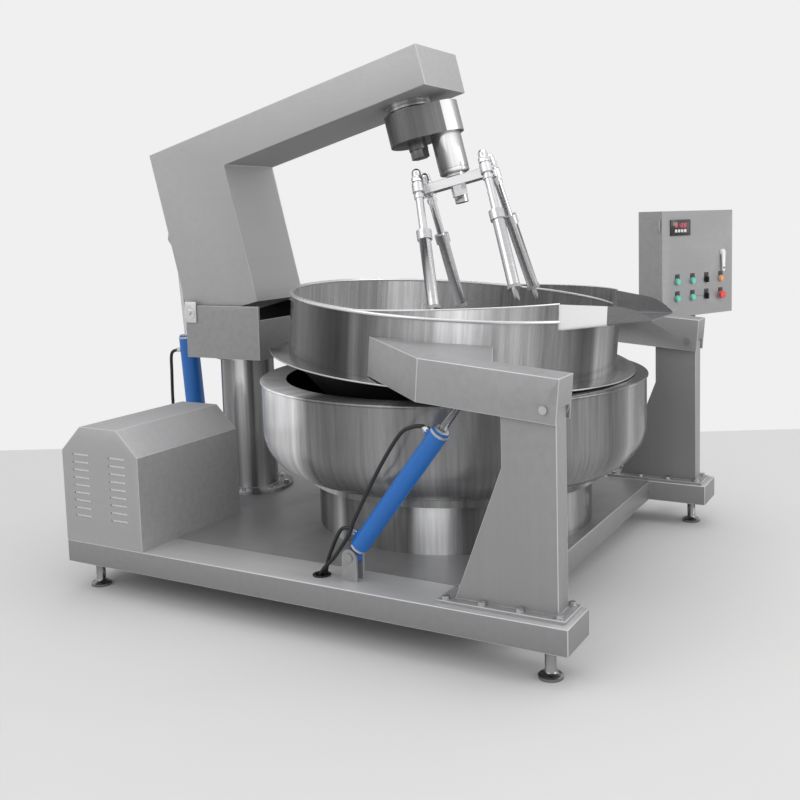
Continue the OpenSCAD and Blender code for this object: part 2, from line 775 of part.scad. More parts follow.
module scraper_tube(i) {
  machine() arm_pose() color(polished) on_planet() lean(corners[i][0], corners[i][1]) difference() {
    union() {
      translate([0, 0, tube_top - tube_len]) cylinder(r = tube_r, h = tube_len);
      translate([0, 0, tube_top - collar_len]) cylinder(r = tube_r + 7, h = collar_len);
    }
    translate([0, 0, tube_top - tube_len + 20]) cylinder(r = rod_r + run, h = tube_len);
  }
}

blade_t = 12;
blade_h = 60;

module scraper_blade(i) {
  sx = corners[i][0];
  machine() arm_pose() color([0.93, 0.93, 0.90]) on_planet() lean(sx, corners[i][1])
    translate([0, 0, tube_top - tube_len - seat]) {
      translate([0, 0, -14]) cylinder(r = tube_r + 4, h = 14);
      translate([-blade_t / 2, 0, 0]) rotate([90, 0, 90]) linear_extrude(blade_t)
        polygon([[-tube_r, -10], [tube_r, -10], [tube_r + 5, -30], [tube_r, -blade_h + 4],
          [tube_r - 6, -blade_h], [-tube_r, -blade_h], [-tube_r - 16, -30]]);
    }
}

// pot with its collar, flange, guard and spout, drawn level and then tipped
bowl_r = (pow(pot_r, 2) + pow(bowl_depth, 2)) / (2 * bowl_depth);
bowl_c = flange_z - bowl_depth + bowl_r;
lip_down = 40;
guard_from = -60;
mouth_x = pot_r * cos(spout_half);
mouth_y = pot_r * sin(spout_half);
tip_half = 150;

module pot_bowl() {
  machine() pot_pose() color(polished) translate([pot_x, mid_y, 0]) difference() {
    intersection() {
      translate([0, 0, bowl_c]) sphere(r = bowl_r + pot_wall, $fn = 128);
      translate([0, 0, flange_z - bowl_depth - 10]) cylinder(r = pot_r + pot_wall, h = bowl_depth + 10, $fn = 128);
    }
    translate([0, 0, bowl_c]) sphere(r = bowl_r, $fn = 128);
  }
}

// wedge over the spout mouth, wide enough to reach past the collar
module mouth(z0, z1) {
  w = (pot_r + 60) * tan(spout_half);
  translate([0, 0, z0]) linear_extrude(z1 - z0)
    polygon([[0, 0], [pot_r + 60, -w], [pot_r + 60, w]]);
}

module pot_collar() {
  r1 = pot_r + pot_wall;
  slope = guard_h / (mouth_x - guard_from);
  machine() pot_pose() color(polished) translate([pot_x, mid_y, 0]) {
    difference() {
      union() {
        tube_z(r1, pot_wall, flange_z, rim_z + guard_h);
        rotate_extrude() translate([0, flange_z]) polygon([[pot_r + 1, flange_t - 1], [pot_r + 1, 0],
          [r1 + seat, 0], [r1 + seat, -flange_t], [flange_r, -flange_t], [flange_r, 0]]);
        difference() {
          translate([0, 0, rim_z - bead_r]) rotate_extrude() translate([r1, 0]) circle(r = bead_r);
          translate([0, 0, rim_z - 3 * bead_r]) cylinder(r = pot_r + 1, h = 4 * bead_r);
        }
      }
      // the guard slopes down to the rim on the side away from the spout
      along_y(-r1 - 10, r1 + 10) polygon([[-r1 - 20, rim_z], [guard_from, rim_z],
        [r1 + 20, rim_z + slope * (r1 + 20 - guard_from)], [r1 + 20, rim_z + 2 * guard_h], [-r1 - 20, rim_z + 2 * guard_h]]);
      mouth(rim_z - lip_down, rim_z + 2 * guard_h);
    }
  }
}

module pour_spout() {
  t = 3;
  z0 = rim_z - lip_down - t;
  zt = rim_z + tip_rise;
  run_x = spout_reach - mouth_x;
  side = sqrt(pow(run_x, 2) + pow(mouth_y - tip_half, 2));
  turn = atan2(mouth_y - tip_half, run_x);
  machine() pot_pose() color(polished) translate([pot_x, mid_y, 0]) difference() {
    union() {
      // sloping floor
      hull() {
        box([mouth_x - 30, -mouth_y, z0], [mouth_x, mouth_y, z0 + t]);
        box([spout_reach - 2, -tip_half, zt - t], [spout_reach, tip_half, zt]);
      }
      // side wings, high at the pot and falling at the tip
      for (s = [0, 1]) mirror([0, s, 0]) translate([mouth_x, mouth_y, 0]) rotate(-turn)
        translate([0, t - 1, 0]) rotate([90, 0, 0]) linear_extrude(t) polygon([[-8, z0], [side, zt - t],
          [side, zt + 6], [side - 14, zt + 26], [side - 44, rim_z + guard_h - 14], [side - 90, rim_z + guard_h], [-8, rim_z + guard_h - 4]]);
    }
    translate([0, 0, z0 - 1]) cylinder(r = pot_r + pot_wall + seat, h = 4 * guard_h);
  }
}

// arms that carry the pot, one each side; the channel of an arm straddles its post
arm_y0_f = post_y - pot_arm_w / 2;
arm_y1_f = post_y + pot_arm_w / 2;
arm_z1 = pot_pivot[2] + 105;
arm_z0 = arm_z1 - pot_arm_h;
bend_x = pivot_x - 457;
arm_x1 = pivot_x + 45;
web_x = pivot_x - 240;
touch_r = pot_r + pot_wall + seat;
wall = pot_arm_wall;

// plan of the wedge between the bend and the pot
module wedge(x_end, y_end) {
  difference() {
    polygon([[pot_x, mid_y - touch_r], [bend_x, arm_y0_f], [x_end, arm_y0_f], [x_end, arm_y1_f],
      [y_end, mid_y - touch_r + 160], [pot_x, mid_y - touch_r + 160]]);
    translate([pot_x, mid_y]) circle(r = touch_r, $fn = 128);
  }
}

module pot_arm() {
  dx = bend_x - pot_x;
  dy = mid_y - touch_r - arm_y0_f;
  off = wall * sqrt(dx * dx + dy * dy) / dx;
  difference() {
    union() {
      box([bend_x, arm_y0_f, arm_z0], [arm_x1, arm_y0_f + wall, arm_z1]);
      box([bend_x + 60, arm_y1_f - wall, arm_z0], [arm_x1, arm_y1_f, arm_z1]);
      box([bend_x, arm_y0_f, arm_z1 - wall], [arm_x1, arm_y1_f, arm_z1]);
      // end plate, which stops clear of the post when the pot is tipped
      box([arm_x1 - wall, arm_y0_f, pot_pivot[2] + 8], [arm_x1, arm_y1_f, arm_z1]);
      translate([0, 0, arm_z1 - wall]) linear_extrude(wall) wedge(web_x, pot_x + 435);
      translate([0, 0, arm_z0]) linear_extrude(wall) wedge(bend_x + 70, pot_x + 390);
      // outer plate of the bend
      translate([0, 0, arm_z0]) linear_extrude(pot_arm_h) difference() {
        polygon([[pot_x, mid_y - touch_r], [bend_x, arm_y0_f], [bend_x + 4, arm_y0_f + off],
          [pot_x + 4, mid_y - touch_r + off]]);
        translate([pot_x, mid_y]) circle(r = touch_r, $fn = 128);
      }
      // plates that stiffen the eye of the cylinder rod
      for (s = [-1, 1]) box([tip_pin[0] - 40, front_cyl_y + s * eye_mid - 4, tip_pin[2] - 24],
        [tip_pin[0] + 40, front_cyl_y + s * eye_mid + 4, arm_z1 - wall + 1]);
      // spacers beside the post
      translate([pivot_x, 0, pot_pivot[2]]) {
        bar_y(pot_pin_r + 18, arm_y0_f + wall - 1, post_y - post_t / 2 - seat);
        bar_y(pot_pin_r + 18, post_y + post_t / 2 + seat, arm_y1_f - wall + 1);
      }
    }
    translate([pivot_x, 0, pot_pivot[2]]) {
      bar_y(pot_pin_r + run, arm_y0_f + wall, arm_y1_f - wall);
      bar_y(11, arm_y0_f - 1, arm_y1_f + 1);
    }
  }
}

module front_pot_arm() {
  machine() pot_pose() color(steel) pot_arm();
}

module rear_pot_arm() {
  machine() pot_pose() color(steel) rear_side() pot_arm();
}

module pot_pins() {
  machine() pot_pose() color(polished) for (side = [0, 1])
    translate([0, side * base_depth, 0]) mirror([0, side, 0]) translate([pivot_x, 0, pot_pivot[2]]) {
      bar_y(pot_pin_r, arm_y0_f + wall + seat, arm_y1_f - wall - seat);
      bar_y(11 - run, arm_y0_f - 1, arm_y1_f + 1);
      bar_y(14, arm_y0_f - 8, arm_y0_f - seat);
      bar_y(14, arm_y1_f + seat, arm_y1_f + 8);
    }
}

// hydraulic cylinders, each drawn along its own line up from the foot pin
function turned(p, c, a) = [c[0] + (p[0] - c[0]) * cos(a) - (p[2] - c[2]) * sin(a), p[1],
  c[2] + (p[0] - c[0]) * sin(a) + (p[2] - c[2]) * cos(a)];

tip_pin = [pivot_x - 302.6, front_cyl_y, pot_pivot[2] - 17.4];
lift_now = turned(lift_pin, arm_pivot, arm_tilt);
tip_now = turned(tip_pin, [pivot_x, front_cyl_y, pot_pivot[2]], -pot_tilt);
rear_line = lift_now - rear_foot;
front_line = tip_now - front_foot;
rear_l = norm(rear_line);
front_l = norm(front_line);

module along(foot, line) {
  translate(foot) rotate([0, atan2(line[0], line[2]), 0]) children();
}

// barrel with foot eye, gland and two port bosses on the side that faces away
module barrel(r, rod, eye_w, pin_r, from, port, len) {
  difference() {
    union() {
      bar_y(pin_r + 14, -eye_w / 2, eye_w / 2);
      translate([0, 0, pin_r + 4]) cylinder(r = eye_w / 2 - 2, h = from - pin_r - 3);
      translate([0, 0, from]) cylinder(r = r, h = len - from);
      translate([0, 0, len - 1]) cylinder(r = r - 3, h = 9);
      for (z = [from + low_port, len - port]) translate([0, 0, z]) rotate([0, -90, 0])
        cylinder(r = 13, h = r + port_out);
    }
    bar_y(pin_r + run, -eye_w, eye_w);
    translate([0, 0, from + 14]) cylinder(r = r - barrel_wall, h = len - from - 34);
    translate([0, 0, len - 21]) cylinder(r = rod + run, h = 40);
  }
}

module rod(r, bore, eye_w, pin_r, from, to) {
  difference() {
    union() {
      translate([0, 0, from]) cylinder(r = bore - run, h = 30);
      translate([0, 0, from + 29]) cylinder(r = r, h = to - from - 35);
      translate([0, 0, to]) bar_y(pin_r + 12, -eye_w / 2, eye_w / 2);
    }
    translate([0, 0, to]) bar_y(pin_r + run, -eye_w, eye_w);
  }
  translate([0, 0, to]) bar_y(pin_r, -eye_w / 2 - 1, eye_w / 2 + 1);
}

rear_barrel_l = 637;
front_barrel_l = 606;
rear_from = 50;
front_from = 42;
piston_from = 330;
rear_top_port = 66;
front_top_port = 30;
low_port = 34;
port_out = 9;

module rear_barrel() {
  machine() along(rear_foot, rear_line) color(blue)
    barrel(rear_barrel_r, rear_rod_r, rear_eye_w - 1, foot_pin_r + 4, rear_from, rear_top_port, rear_barrel_l);
}

module rear_rod() {
  machine() along(rear_foot, rear_line) color(polished)
    rod(rear_rod_r, rear_barrel_r - barrel_wall, rear_eye_w - 2, 16, piston_from, rear_l);
}

module front_barrel() {
  machine() along(front_foot, front_line) color(blue)
    barrel(front_barrel_r, front_rod_r, front_eye_w - 1, foot_pin_r, front_from, front_top_port, front_barrel_l);
}

module front_rod() {
  machine() along(front_foot, front_line) color(polished)
    rod(front_rod_r, front_barrel_r - barrel_wall, front_eye_w, 12, piston_from, front_l);
}

// hoses, swept along points chosen by hand
hose_sides = 8;

function unit(v) = v / norm(v);
function tangent(p, i) = unit(p[min(i + 1, len(p) - 1)] - p[max(i - 1, 0)]);
function ring_pt(p, i, r, a) = let (t = tangent(p, i), s = unit(cross(t, [0.1, 1, 0.2])), u = cross(t, s))
  p[i] + r * (cos(a) * s + sin(a) * u);

// smooth points through the hand chosen ones
function spline(p, m) = [for (i = [0:len(p) - 2], k = [0:(i == len(p) - 2 ? m : m - 1)])
  let (t = k / m, a = p[max(i - 1, 0)], b = p[i], c = p[i + 1], d = p[min(i + 2, len(p) - 1)])
  0.5 * (2 * b + (c - a) * t + (2 * a - 5 * b + 4 * c - d) * t * t + (3 * b - 3 * c + d - a) * t * t * t)];

module hose(points, r, m) {
  p = spline(points, m);
  n = hose_sides;
  polyhedron(
    points = [for (i = [0:len(p) - 1], k = [0:n - 1]) ring_pt(p, i, r, 360 * k / n)],
    faces = concat([[for (k = [0:n - 1]) k]],
      [for (i = [0:len(p) - 2], k = [0:n - 1]) [i * n + k, (i + 1) * n + k, (i + 1) * n + (k + 1) % n, i * n + (k + 1) % n]],
      [[for (k = [n - 1:-1:0]) (len(p) - 1) * n + k]]));
}

rear_port = [-240, mid_y - 4];

// point s along a cylinder's line, d out over its back and y to the side
function beside(foot, line, s, d, y) = let (u = unit(line)) foot + s * u + d * [-u[2], 0, u[0]] + [0, y, 0];

// straight start of a hose, over the port s along a barrel
function from_port(foot, line, r, s, out) = [for (d = [0, out / 2, out]) beside(foot, line, s, r + port_out + seat + d, 0)];

module front_hoses() {
  top = front_barrel_l - front_top_port;
  low = front_from + low_port;
  // places along the cylinder, over it and to its side
  top_run = [[550, 90, -7], [506, 108, -17], [388, 102, -23], [250, 84, -25], [122, 64, -25], [66, 50, -26],
    [-38, 46, -26]];
  low_run = [[52, 89, -3], [9, 89, -3], [-30, 81, -4]];
  machine() color(dark) {
    hose(concat(from_port(front_foot, front_line, front_barrel_r, top, 20),
      [for (q = top_run) beside(front_foot, front_line, q[0], q[1], q[2])],
      [[1228, 80, 232], [1207, 81, leg_h + 75]]), hose_r - 1, 4);
    hose(concat(from_port(front_foot, front_line, front_barrel_r, low, 18),
      [for (q = low_run) beside(front_foot, front_line, q[0], q[1], q[2])],
      [[1238, 101, 262], [1222, 101, leg_h + 75]]), hose_r - 1, 4);
  }
}

module rear_hoses() {
  top = rear_barrel_l - rear_top_port;
  low = rear_from + low_port;
  machine() color(dark) {
    hose(concat(from_port(rear_foot, rear_line, rear_barrel_r, top, 30), [[-316, mid_y, 840], [-322, mid_y, 740],
      [left_end + hose_r, mid_y, 600], [-318, mid_y, 460], [-286, mid_y - 10, 340], [-250, mid_y - 16, 262],
      [-240, mid_y - 17, leg_h + 75]]), hose_r, 4);
    hose(concat(from_port(rear_foot, rear_line, rear_barrel_r, low, 16), [[-250, mid_y + 4, 346],
      [-252, mid_y + 8, 300], [-242, mid_y + 10, leg_h + 75]]), hose_r, 4);
  }
}

// control cabinet on its pole: front face towards the right side of the machine
door_t = 20;
fold_r = 3;
gear_d = 50;
box_d = cab_d - door_t;
panel_x = cab_front;
button_z = [cab_h * 0.337, cab_h * 0.177];
button_y = [108, 224, 334, 448];

module cab_pose() {
  translate([cab_pole[0], cab_pole[1], cab_z]) rotate(-cab_turn) children();
}

module cabinet_box() {
  x0 = cab_front - cab_d;
  machine() cab_pose() color(steel) {
    difference() {
      box([x0, cab_left, 0], [x0 + box_d, cab_left + cab_w, cab_h]);
      box([x0 + cab_t, cab_left + cab_t, cab_t], [x0 + box_d + 1, cab_left + cab_w - cab_t, cab_h - cab_t]);
    }
    difference() {
      translate([0, 0, -socket_l]) cylinder(r = pole_r + 8, h = socket_l);
      translate([0, 0, -socket_l - 1]) cylinder(r = pole_r + run, h = socket_l + 1);
    }
  }
}

module switchgear() {
  x0 = cab_front - cab_d + cab_t;
  machine() cab_pose() color([0.85, 0.85, 0.82]) {
    box([x0 + seat, cab_left + 40, 50], [x0 + 14, cab_left + cab_w - 40, cab_h - 50]);
    for (k = [0:4]) box([x0 + 14, cab_left + 70 + k * 84, 330], [x0 + gear_d, cab_left + 130 + k * 84, 410]);
    for (k = [0:2]) box([x0 + 14, cab_left + 80 + k * 140, 150], [x0 + gear_d + 8, cab_left + 180 + k * 140, 250]);
  }
}

module panel_hole(i, j, r) {
  translate([panel_x - 30, cab_left + button_y[i], button_z[j]]) rotate([0, 90, 0]) cylinder(r = r, h = 60);
}

// folded long edge of the door, which its hinge pins sit behind
module door_fold(y, side) {
  difference() {
    box([panel_x - fold_r, min(y, y - side * fold_r), -1], [panel_x + 1, max(y + side, y - side * fold_r), cab_h + 1]);
    translate([panel_x - fold_r, y - side * fold_r, -2]) cylinder(r = fold_r, h = cab_h + 4);
  }
}

module cabinet_door() {
  x0 = panel_x - door_t;
  machine() cab_pose() color(steel) difference() {
    box([x0 + seat, cab_left, 0], [panel_x, cab_left + cab_w, cab_h]);
    door_fold(cab_left, -1);
    door_fold(cab_left + cab_w, 1);
    box([x0, cab_left + cab_t, cab_t], [panel_x - cab_t, cab_left + cab_w - cab_t, cab_h - cab_t]);
    for (i = [0:3], j = [0, 1]) panel_hole(i, j, button_r + seat);
    box([x0, cab_left + meter_y, meter_z], [panel_x + 1, cab_left + meter_y + meter_w, meter_z + meter_h]);
    translate([panel_x - 30, cab_left + handle_y, handle_z]) rotate([0, 90, 0]) cylinder(r = 9 + run, h = 60);
  }
  // bezels round the buttons
  machine() cab_pose() color(polished) for (i = [0, 1, 3], j = [0, 1])
    translate([panel_x - 1, cab_left + button_y[i], button_z[j]]) rotate([0, 90, 0])
      tube_z(button_r + 3, 3 - seat, 0, 7);
}

handle_y = 463;
handle_z = cab_h * 0.59;
meter_y = 62;
meter_w = 140;
meter_h = 70;
meter_z = cab_h * 0.777;

module door_handle() {
  machine() cab_pose() color(polished) translate([panel_x, cab_left + handle_y, handle_z]) rotate([0, 90, 0]) {
    translate([0, 0, -12]) cylinder(r = 9, h = 20);
    translate([0, 0, seat]) cylinder(r = 16, h = 10);
    hull() {
      translate([0, 0, 6]) cylinder(r = 13, h = 8, $fn = 32);
      translate([88, 0, 8]) cylinder(r = 9, h = 6, $fn = 32);
    }
    translate([0, 0, -12]) box([-22, -7, 0], [22, 7, 3]);
  }
}

module panel_meter() {
  machine() cab_pose() color(dark) {
    box([panel_x - 45, cab_left + meter_y + seat, meter_z + seat],
      [panel_x, cab_left + meter_y + meter_w - seat, meter_z + meter_h - seat]);
    box([panel_x + seat, cab_left + meter_y - 4, meter_z - 4], [panel_x + 6, cab_left + meter_y + meter_w + 4, meter_z + meter_h + 4]);
    box([panel_x - 1, cab_left + meter_y + 6, meter_z + 6], [panel_x + 4, cab_left + meter_y + meter_w - 6, meter_z + meter_h - 6]);
  }
}

// a push button: stem through the panel and a cap in front of it
module button(i, j, cap_r, cap_h, tone) {
  machine() cab_pose() color(tone) translate([panel_x, cab_left + button_y[i], button_z[j]]) rotate([0, 90, 0]) {
    translate([0, 0, -24]) cylinder(r = button_r, h = 24 + 12);
    translate([0, 0, 11]) cylinder(r = cap_r, h = cap_h);
  }
}

module selector(j) {
  machine() cab_pose() color(dark) translate([panel_x, cab_left + button_y[2], button_z[j]]) rotate([0, 90, 0]) {
    translate([0, 0, -24]) cylinder(r = button_r, h = 24 + 6);
    translate([0, 0, 2]) cylinder(r = button_r + 2, h = 6);
    box([-14, -4, 7], [14, 4, 20]);
  }
}

green = [0.15, 0.65, 0.42];

front_beam();
rear_beam();
cross_members();
floor_plate();
levelling_feet();
power_pack_cover();
oil_tank();
pump_motor();
column();
column_head();
arm_pin();
cylinder_lugs();
furnace_shell();
furnace_base();
gas_burner();
front_post();
rear_post();
anchor_bolts();
cabinet_pole();
mast_shell();
boom_shell();
drive_motor();
head_ring();
rear_barrel();
rear_rod();
front_barrel();
front_rod();
front_hoses();
rear_hoses();
planet_housing();
planet_shaft();
stirrer_bar();
scraper_rods();
scraper_tube(0);  // scraper_tube_1
scraper_tube(1);  // scraper_tube_2
scraper_tube(2);  // scraper_tube_3
scraper_tube(3);  // scraper_tube_4
scraper_blade(0);  // scraper_blade_1
scraper_blade(1);  // scraper_blade_2
scraper_blade(2);  // scraper_blade_3
scraper_blade(3);  // scraper_blade_4
pot_bowl();
pot_collar();
pour_spout();
front_pot_arm();
rear_pot_arm();
pot_pins();
cabinet_box();
switchgear();
cabinet_door();
door_handle();
panel_meter();
button(0, 0, button_r - 1, 4, green);  // green_button_1
button(1, 0, button_r - 1, 4, green);  // green_button_2
button(0, 1, button_r - 1, 4, green);  // green_button_3
button(1, 1, button_r - 1, 4, green);  // green_button_4
button(3, 0, button_r - 1, 4, [0.85, 0.45, 0.15]);  // amber_button
button(3, 1, button_r + 6, 12, [0.85, 0.10, 0.10]);  // stop_button
selector(0);  // selector_1
selector(1);  // selector_2
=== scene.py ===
import json
import math

import bmesh
import bpy
from mathutils import Matrix, Vector

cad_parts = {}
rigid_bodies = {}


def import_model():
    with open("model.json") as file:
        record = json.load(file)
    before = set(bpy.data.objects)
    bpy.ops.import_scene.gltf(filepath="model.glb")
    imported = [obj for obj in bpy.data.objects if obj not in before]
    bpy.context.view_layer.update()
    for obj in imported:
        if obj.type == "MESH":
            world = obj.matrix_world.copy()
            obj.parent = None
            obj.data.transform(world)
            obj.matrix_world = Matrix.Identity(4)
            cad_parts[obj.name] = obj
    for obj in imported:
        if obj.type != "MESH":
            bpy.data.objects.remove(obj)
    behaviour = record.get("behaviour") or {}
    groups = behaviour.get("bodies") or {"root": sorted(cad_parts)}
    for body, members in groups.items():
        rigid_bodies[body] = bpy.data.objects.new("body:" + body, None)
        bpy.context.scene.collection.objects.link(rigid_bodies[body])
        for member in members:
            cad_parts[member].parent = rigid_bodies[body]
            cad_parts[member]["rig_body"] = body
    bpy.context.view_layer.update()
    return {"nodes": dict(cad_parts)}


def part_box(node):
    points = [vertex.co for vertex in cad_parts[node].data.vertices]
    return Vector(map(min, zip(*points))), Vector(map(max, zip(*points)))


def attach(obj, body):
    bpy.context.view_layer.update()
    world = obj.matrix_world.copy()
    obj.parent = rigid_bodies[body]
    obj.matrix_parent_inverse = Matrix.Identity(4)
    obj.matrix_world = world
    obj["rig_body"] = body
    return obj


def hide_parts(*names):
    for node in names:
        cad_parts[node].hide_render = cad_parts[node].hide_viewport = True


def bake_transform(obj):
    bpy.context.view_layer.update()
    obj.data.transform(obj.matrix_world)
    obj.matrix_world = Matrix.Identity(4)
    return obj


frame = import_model()
nodes = frame["nodes"]
scene = bpy.context.scene

# ---- frame helpers: machine sizes are in mm from the left front corner of the beams
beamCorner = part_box("front_beam")[0]
machineCorner = Vector((-beamCorner[0], -beamCorner[1], 0.0))


def at(x, y, z):
    return Vector((x, y, z)) * 0.001 - machineCorner


def turnAbout(point, degrees, axis="Y"):
    move = Matrix.Translation(point)
    return move @ Matrix.Rotation(math.radians(degrees), 4, axis) @ move.inverted()


restPose = {"armPivot": at(3, 1018, 1082), "armTilt": -14.2, "potPivot": at(2110, 1018, 890), "potTilt": 5.0}
armPose = turnAbout(restPose["armPivot"], restPose["armTilt"])
potPose = turnAbout(restPose["potPivot"], restPose["potTilt"])
still = Matrix.Identity(4)
cabinetPole = {"place": at(1940, 2148, 975), "turn": -24.8, "front": 60, "left": -110}
cabinetPose = Matrix.Translation(cabinetPole["place"]) @ Matrix.Rotation(math.radians(cabinetPole["turn"]), 4, "Z")


# ---- node groups shared by the materials
def newGroup(name, inputs, outputs):
    tree = bpy.data.node_groups.new(name, "ShaderNodeTree")
    for label, kind, value in inputs:
        socket = tree.interface.new_socket(label, in_out="INPUT", socket_type=kind)
        if value is not None:
            socket.default_value = value
    for label, kind in outputs:
        tree.interface.new_socket(label, in_out="OUTPUT", socket_type=kind)
    return tree, tree.nodes.new("NodeGroupInput"), tree.nodes.new("NodeGroupOutput")


def mathNode(tree, operation, a, b, clamp=False):
    node = tree.nodes.new("ShaderNodeMath")
    node.operation = operation
    node.use_clamp = clamp
    for k, value in enumerate((a, b)):
        if isinstance(value, (int, float)):
            node.inputs[k].default_value = value
        else:
            tree.links.new(value, node.inputs[k])
    return node.outputs[0]


def noiseNode(tree, vector, scale, detail, roughness=0.55):
    node = tree.nodes.new("ShaderNodeTexNoise")
    tree.links.new(vector, node.inputs["Vector"])
    node.inputs["Scale"].default_value = scale
    node.inputs["Detail"].default_value = detail
    node.inputs["Roughness"].default_value = roughness
    return node.outputs["Fac"]


def rangeNode(tree, value, low, high, outLow, outHigh):
    node = tree.nodes.new("ShaderNodeMapRange")
    tree.links.new(value, node.inputs["Value"])
    for label, number in (("From Min", low), ("From Max", high), ("To Min", outLow), ("To Max", outHigh)):
        node.inputs[label].default_value = number
    return node.outputs["Result"]


def makeGrainGroup():
    # fine lines of a brushed or turned surface, long along one direction
    tree, start, end = newGroup("brushedGrain",
        [("Coord", "NodeSocketVector", None), ("Stretch", "NodeSocketVector", (8.0, 8.0, 900.0))],
        [("Value", "NodeSocketFloat"), ("Streak", "NodeSocketFloat")])
    stretch = tree.nodes.new("ShaderNodeVectorMath")
    stretch.operation = "MULTIPLY"
    tree.links.new(start.outputs["Coord"], stretch.inputs[0])
    tree.links.new(start.outputs["Stretch"], stretch.inputs[1])
    tree.links.new(noiseNode(tree, stretch.outputs[0], 1.0, 3.0, 0.65), end.inputs["Value"])
    tree.links.new(noiseNode(tree, stretch.outputs[0], 0.12, 2.0), end.inputs["Streak"])
    return tree


def makeSmudgeGroup():
    # soft patches left by wiping, steam and hands
    tree, start, end = newGroup("wipeMarks",
        [("Coord", "NodeSocketVector", None), ("Size", "NodeSocketFloat", 4.0)], [("Mask", "NodeSocketFloat")])
    node = tree.nodes.new("ShaderNodeTexNoise")
    tree.links.new(start.outputs["Coord"], node.inputs["Vector"])
    tree.links.new(start.outputs["Size"], node.inputs["Scale"])
    node.inputs["Detail"].default_value = 5.0
    node.inputs["Distortion"].default_value = 0.6
    tree.links.new(rangeNode(tree, node.outputs["Fac"], 0.42, 0.68, 0.0, 1.0), end.inputs["Mask"])
    return tree


def makeEdgeWearAndHighlightGroup():
    # bright edges from the shape itself, broken up by noise: worn edges, and on the bare steels also a painted edge
    # highlight
    tree, start, end = newGroup("edgeWearAndPaintedHighlight",
        [("Coord", "NodeSocketVector", None), ("Amount", "NodeSocketFloat", 0.5)], [("Mask", "NodeSocketFloat")])
    point = tree.nodes.new("ShaderNodeNewGeometry").outputs["Pointiness"]
    edge = rangeNode(tree, point, 0.51, 0.60, 0.0, 1.0)
    broken = rangeNode(tree, noiseNode(tree, start.outputs["Coord"], 38.0, 4.0), 0.3, 0.6, 0.35, 1.0)
    wornAndLitEdge = mathNode(tree, "MULTIPLY", edge, broken)
    tree.links.new(mathNode(tree, "MULTIPLY", wornAndLitEdge, start.outputs["Amount"], True), end.inputs["Mask"])
    return tree


def makeAroundGroup():
    # place round the z line of Coord, from 0 to 1, and streaks that run up and down it
    tree, start, end = newGroup("aroundStreaks",
        [("Coord", "NodeSocketVector", None), ("Fine", "NodeSocketFloat", 30.0)],
        [("Around", "NodeSocketFloat"), ("Streak", "NodeSocketFloat")])
    split = tree.nodes.new("ShaderNodeSeparateXYZ")
    tree.links.new(start.outputs["Coord"], split.inputs[0])
    turn = mathNode(tree, "ARCTAN2", split.outputs["Y"], split.outputs["X"])
    tree.links.new(rangeNode(tree, turn, -math.pi, math.pi, 0.0, 1.0), end.inputs["Around"])
    ring = tree.nodes.new("ShaderNodeCombineXYZ")
    tree.links.new(mathNode(tree, "MULTIPLY", mathNode(tree, "COSINE", turn, 0.0), start.outputs["Fine"]), ring.inputs[0])
    tree.links.new(mathNode(tree, "MULTIPLY", mathNode(tree, "SINE", turn, 0.0), start.outputs["Fine"]), ring.inputs[1])
    tree.links.new(mathNode(tree, "MULTIPLY", split.outputs["Z"], 1.6), ring.inputs[2])
    tree.links.new(noiseNode(tree, ring.outputs[0], 1.0, 5.0, 0.7), end.inputs["Streak"])
    return tree


grainGroup, smudgeGroup, edgeWearAndHighlightGroup = makeGrainGroup(), makeSmudgeGroup(), makeEdgeWearAndHighlightGroup()
aroundGroup = makeAroundGroup()


def useGroup(tree, group, coord, **values):
    node = tree.nodes.new("ShaderNodeGroup")
    node.node_tree = group
    tree.links.new(coord, node.inputs["Coord"])
    for label, value in values.items():
        node.inputs[label].default_value = value
    return node


def mixColour(tree, factor, a, b):
    node = tree.nodes.new("ShaderNodeMix")
    node.data_type = "RGBA"
    tree.links.new(factor, node.inputs["Factor"])
    for socket, value in ((node.inputs[6], a), (node.inputs[7], b)):
        if isinstance(value, tuple):
            socket.default_value = (*value, 1.0)
        else:
            tree.links.new(value, socket)
    return node.outputs[2]


def newMaterial(name):
    material = bpy.data.materials.new(name)
    material.use_nodes = True
    tree = material.node_tree
    tree.nodes.clear()
    shader = tree.nodes.new("ShaderNodeBsdfPrincipled")
    out = tree.nodes.new("ShaderNodeOutputMaterial")
    tree.links.new(shader.outputs[0], out.inputs["Surface"])
    coord = tree.nodes.new("ShaderNodeTexCoord").outputs["Object"]
    return material, tree, shader, coord


def addBump(tree, shader, height, strength, distance):
    bump = tree.nodes.new("ShaderNodeBump")
    bump.inputs["Strength"].default_value = strength
    bump.inputs["Distance"].default_value = distance
    tree.links.new(height, bump.inputs["Height"])
    tree.links.new(bump.outputs[0], shader.inputs["Normal"])


def makeMetal(name, colour, dark, rough, grain, stretch, smudge, wearAndEdgeHighlight=0.4, bump=0.25, coat=0.0, metallic=1.0):
    material, tree, shader, coord = newMaterial(name)
    lines = useGroup(tree, grainGroup, coord, Stretch=stretch)
    marks = useGroup(tree, smudgeGroup, coord, Size=smudge[0])
    wornAndLitEdge = useGroup(tree, edgeWearAndHighlightGroup, coord, Amount=wearAndEdgeHighlight)
    toned = mixColour(tree, lines.outputs["Streak"], dark, colour)
    # the edge mask lightens the steel's edges: partly wear, partly a painted edge highlight
    tree.links.new(mixColour(tree, wornAndLitEdge.outputs["Mask"], toned, tuple(min(1, c * 1.18) for c in colour)),
        shader.inputs["Base Color"])
    base = rangeNode(tree, lines.outputs["Value"], 0.25, 0.75, rough - grain, rough + grain)
    stained = mathNode(tree, "MULTIPLY", marks.outputs["Mask"], smudge[1])
    tree.links.new(mathNode(tree, "ADD", base, stained, True), shader.inputs["Roughness"])
    shader.inputs["Metallic"].default_value = metallic
    shader.inputs["Coat Weight"].default_value = coat
    addBump(tree, shader, lines.outputs["Value"], bump, 0.0002)
    return material


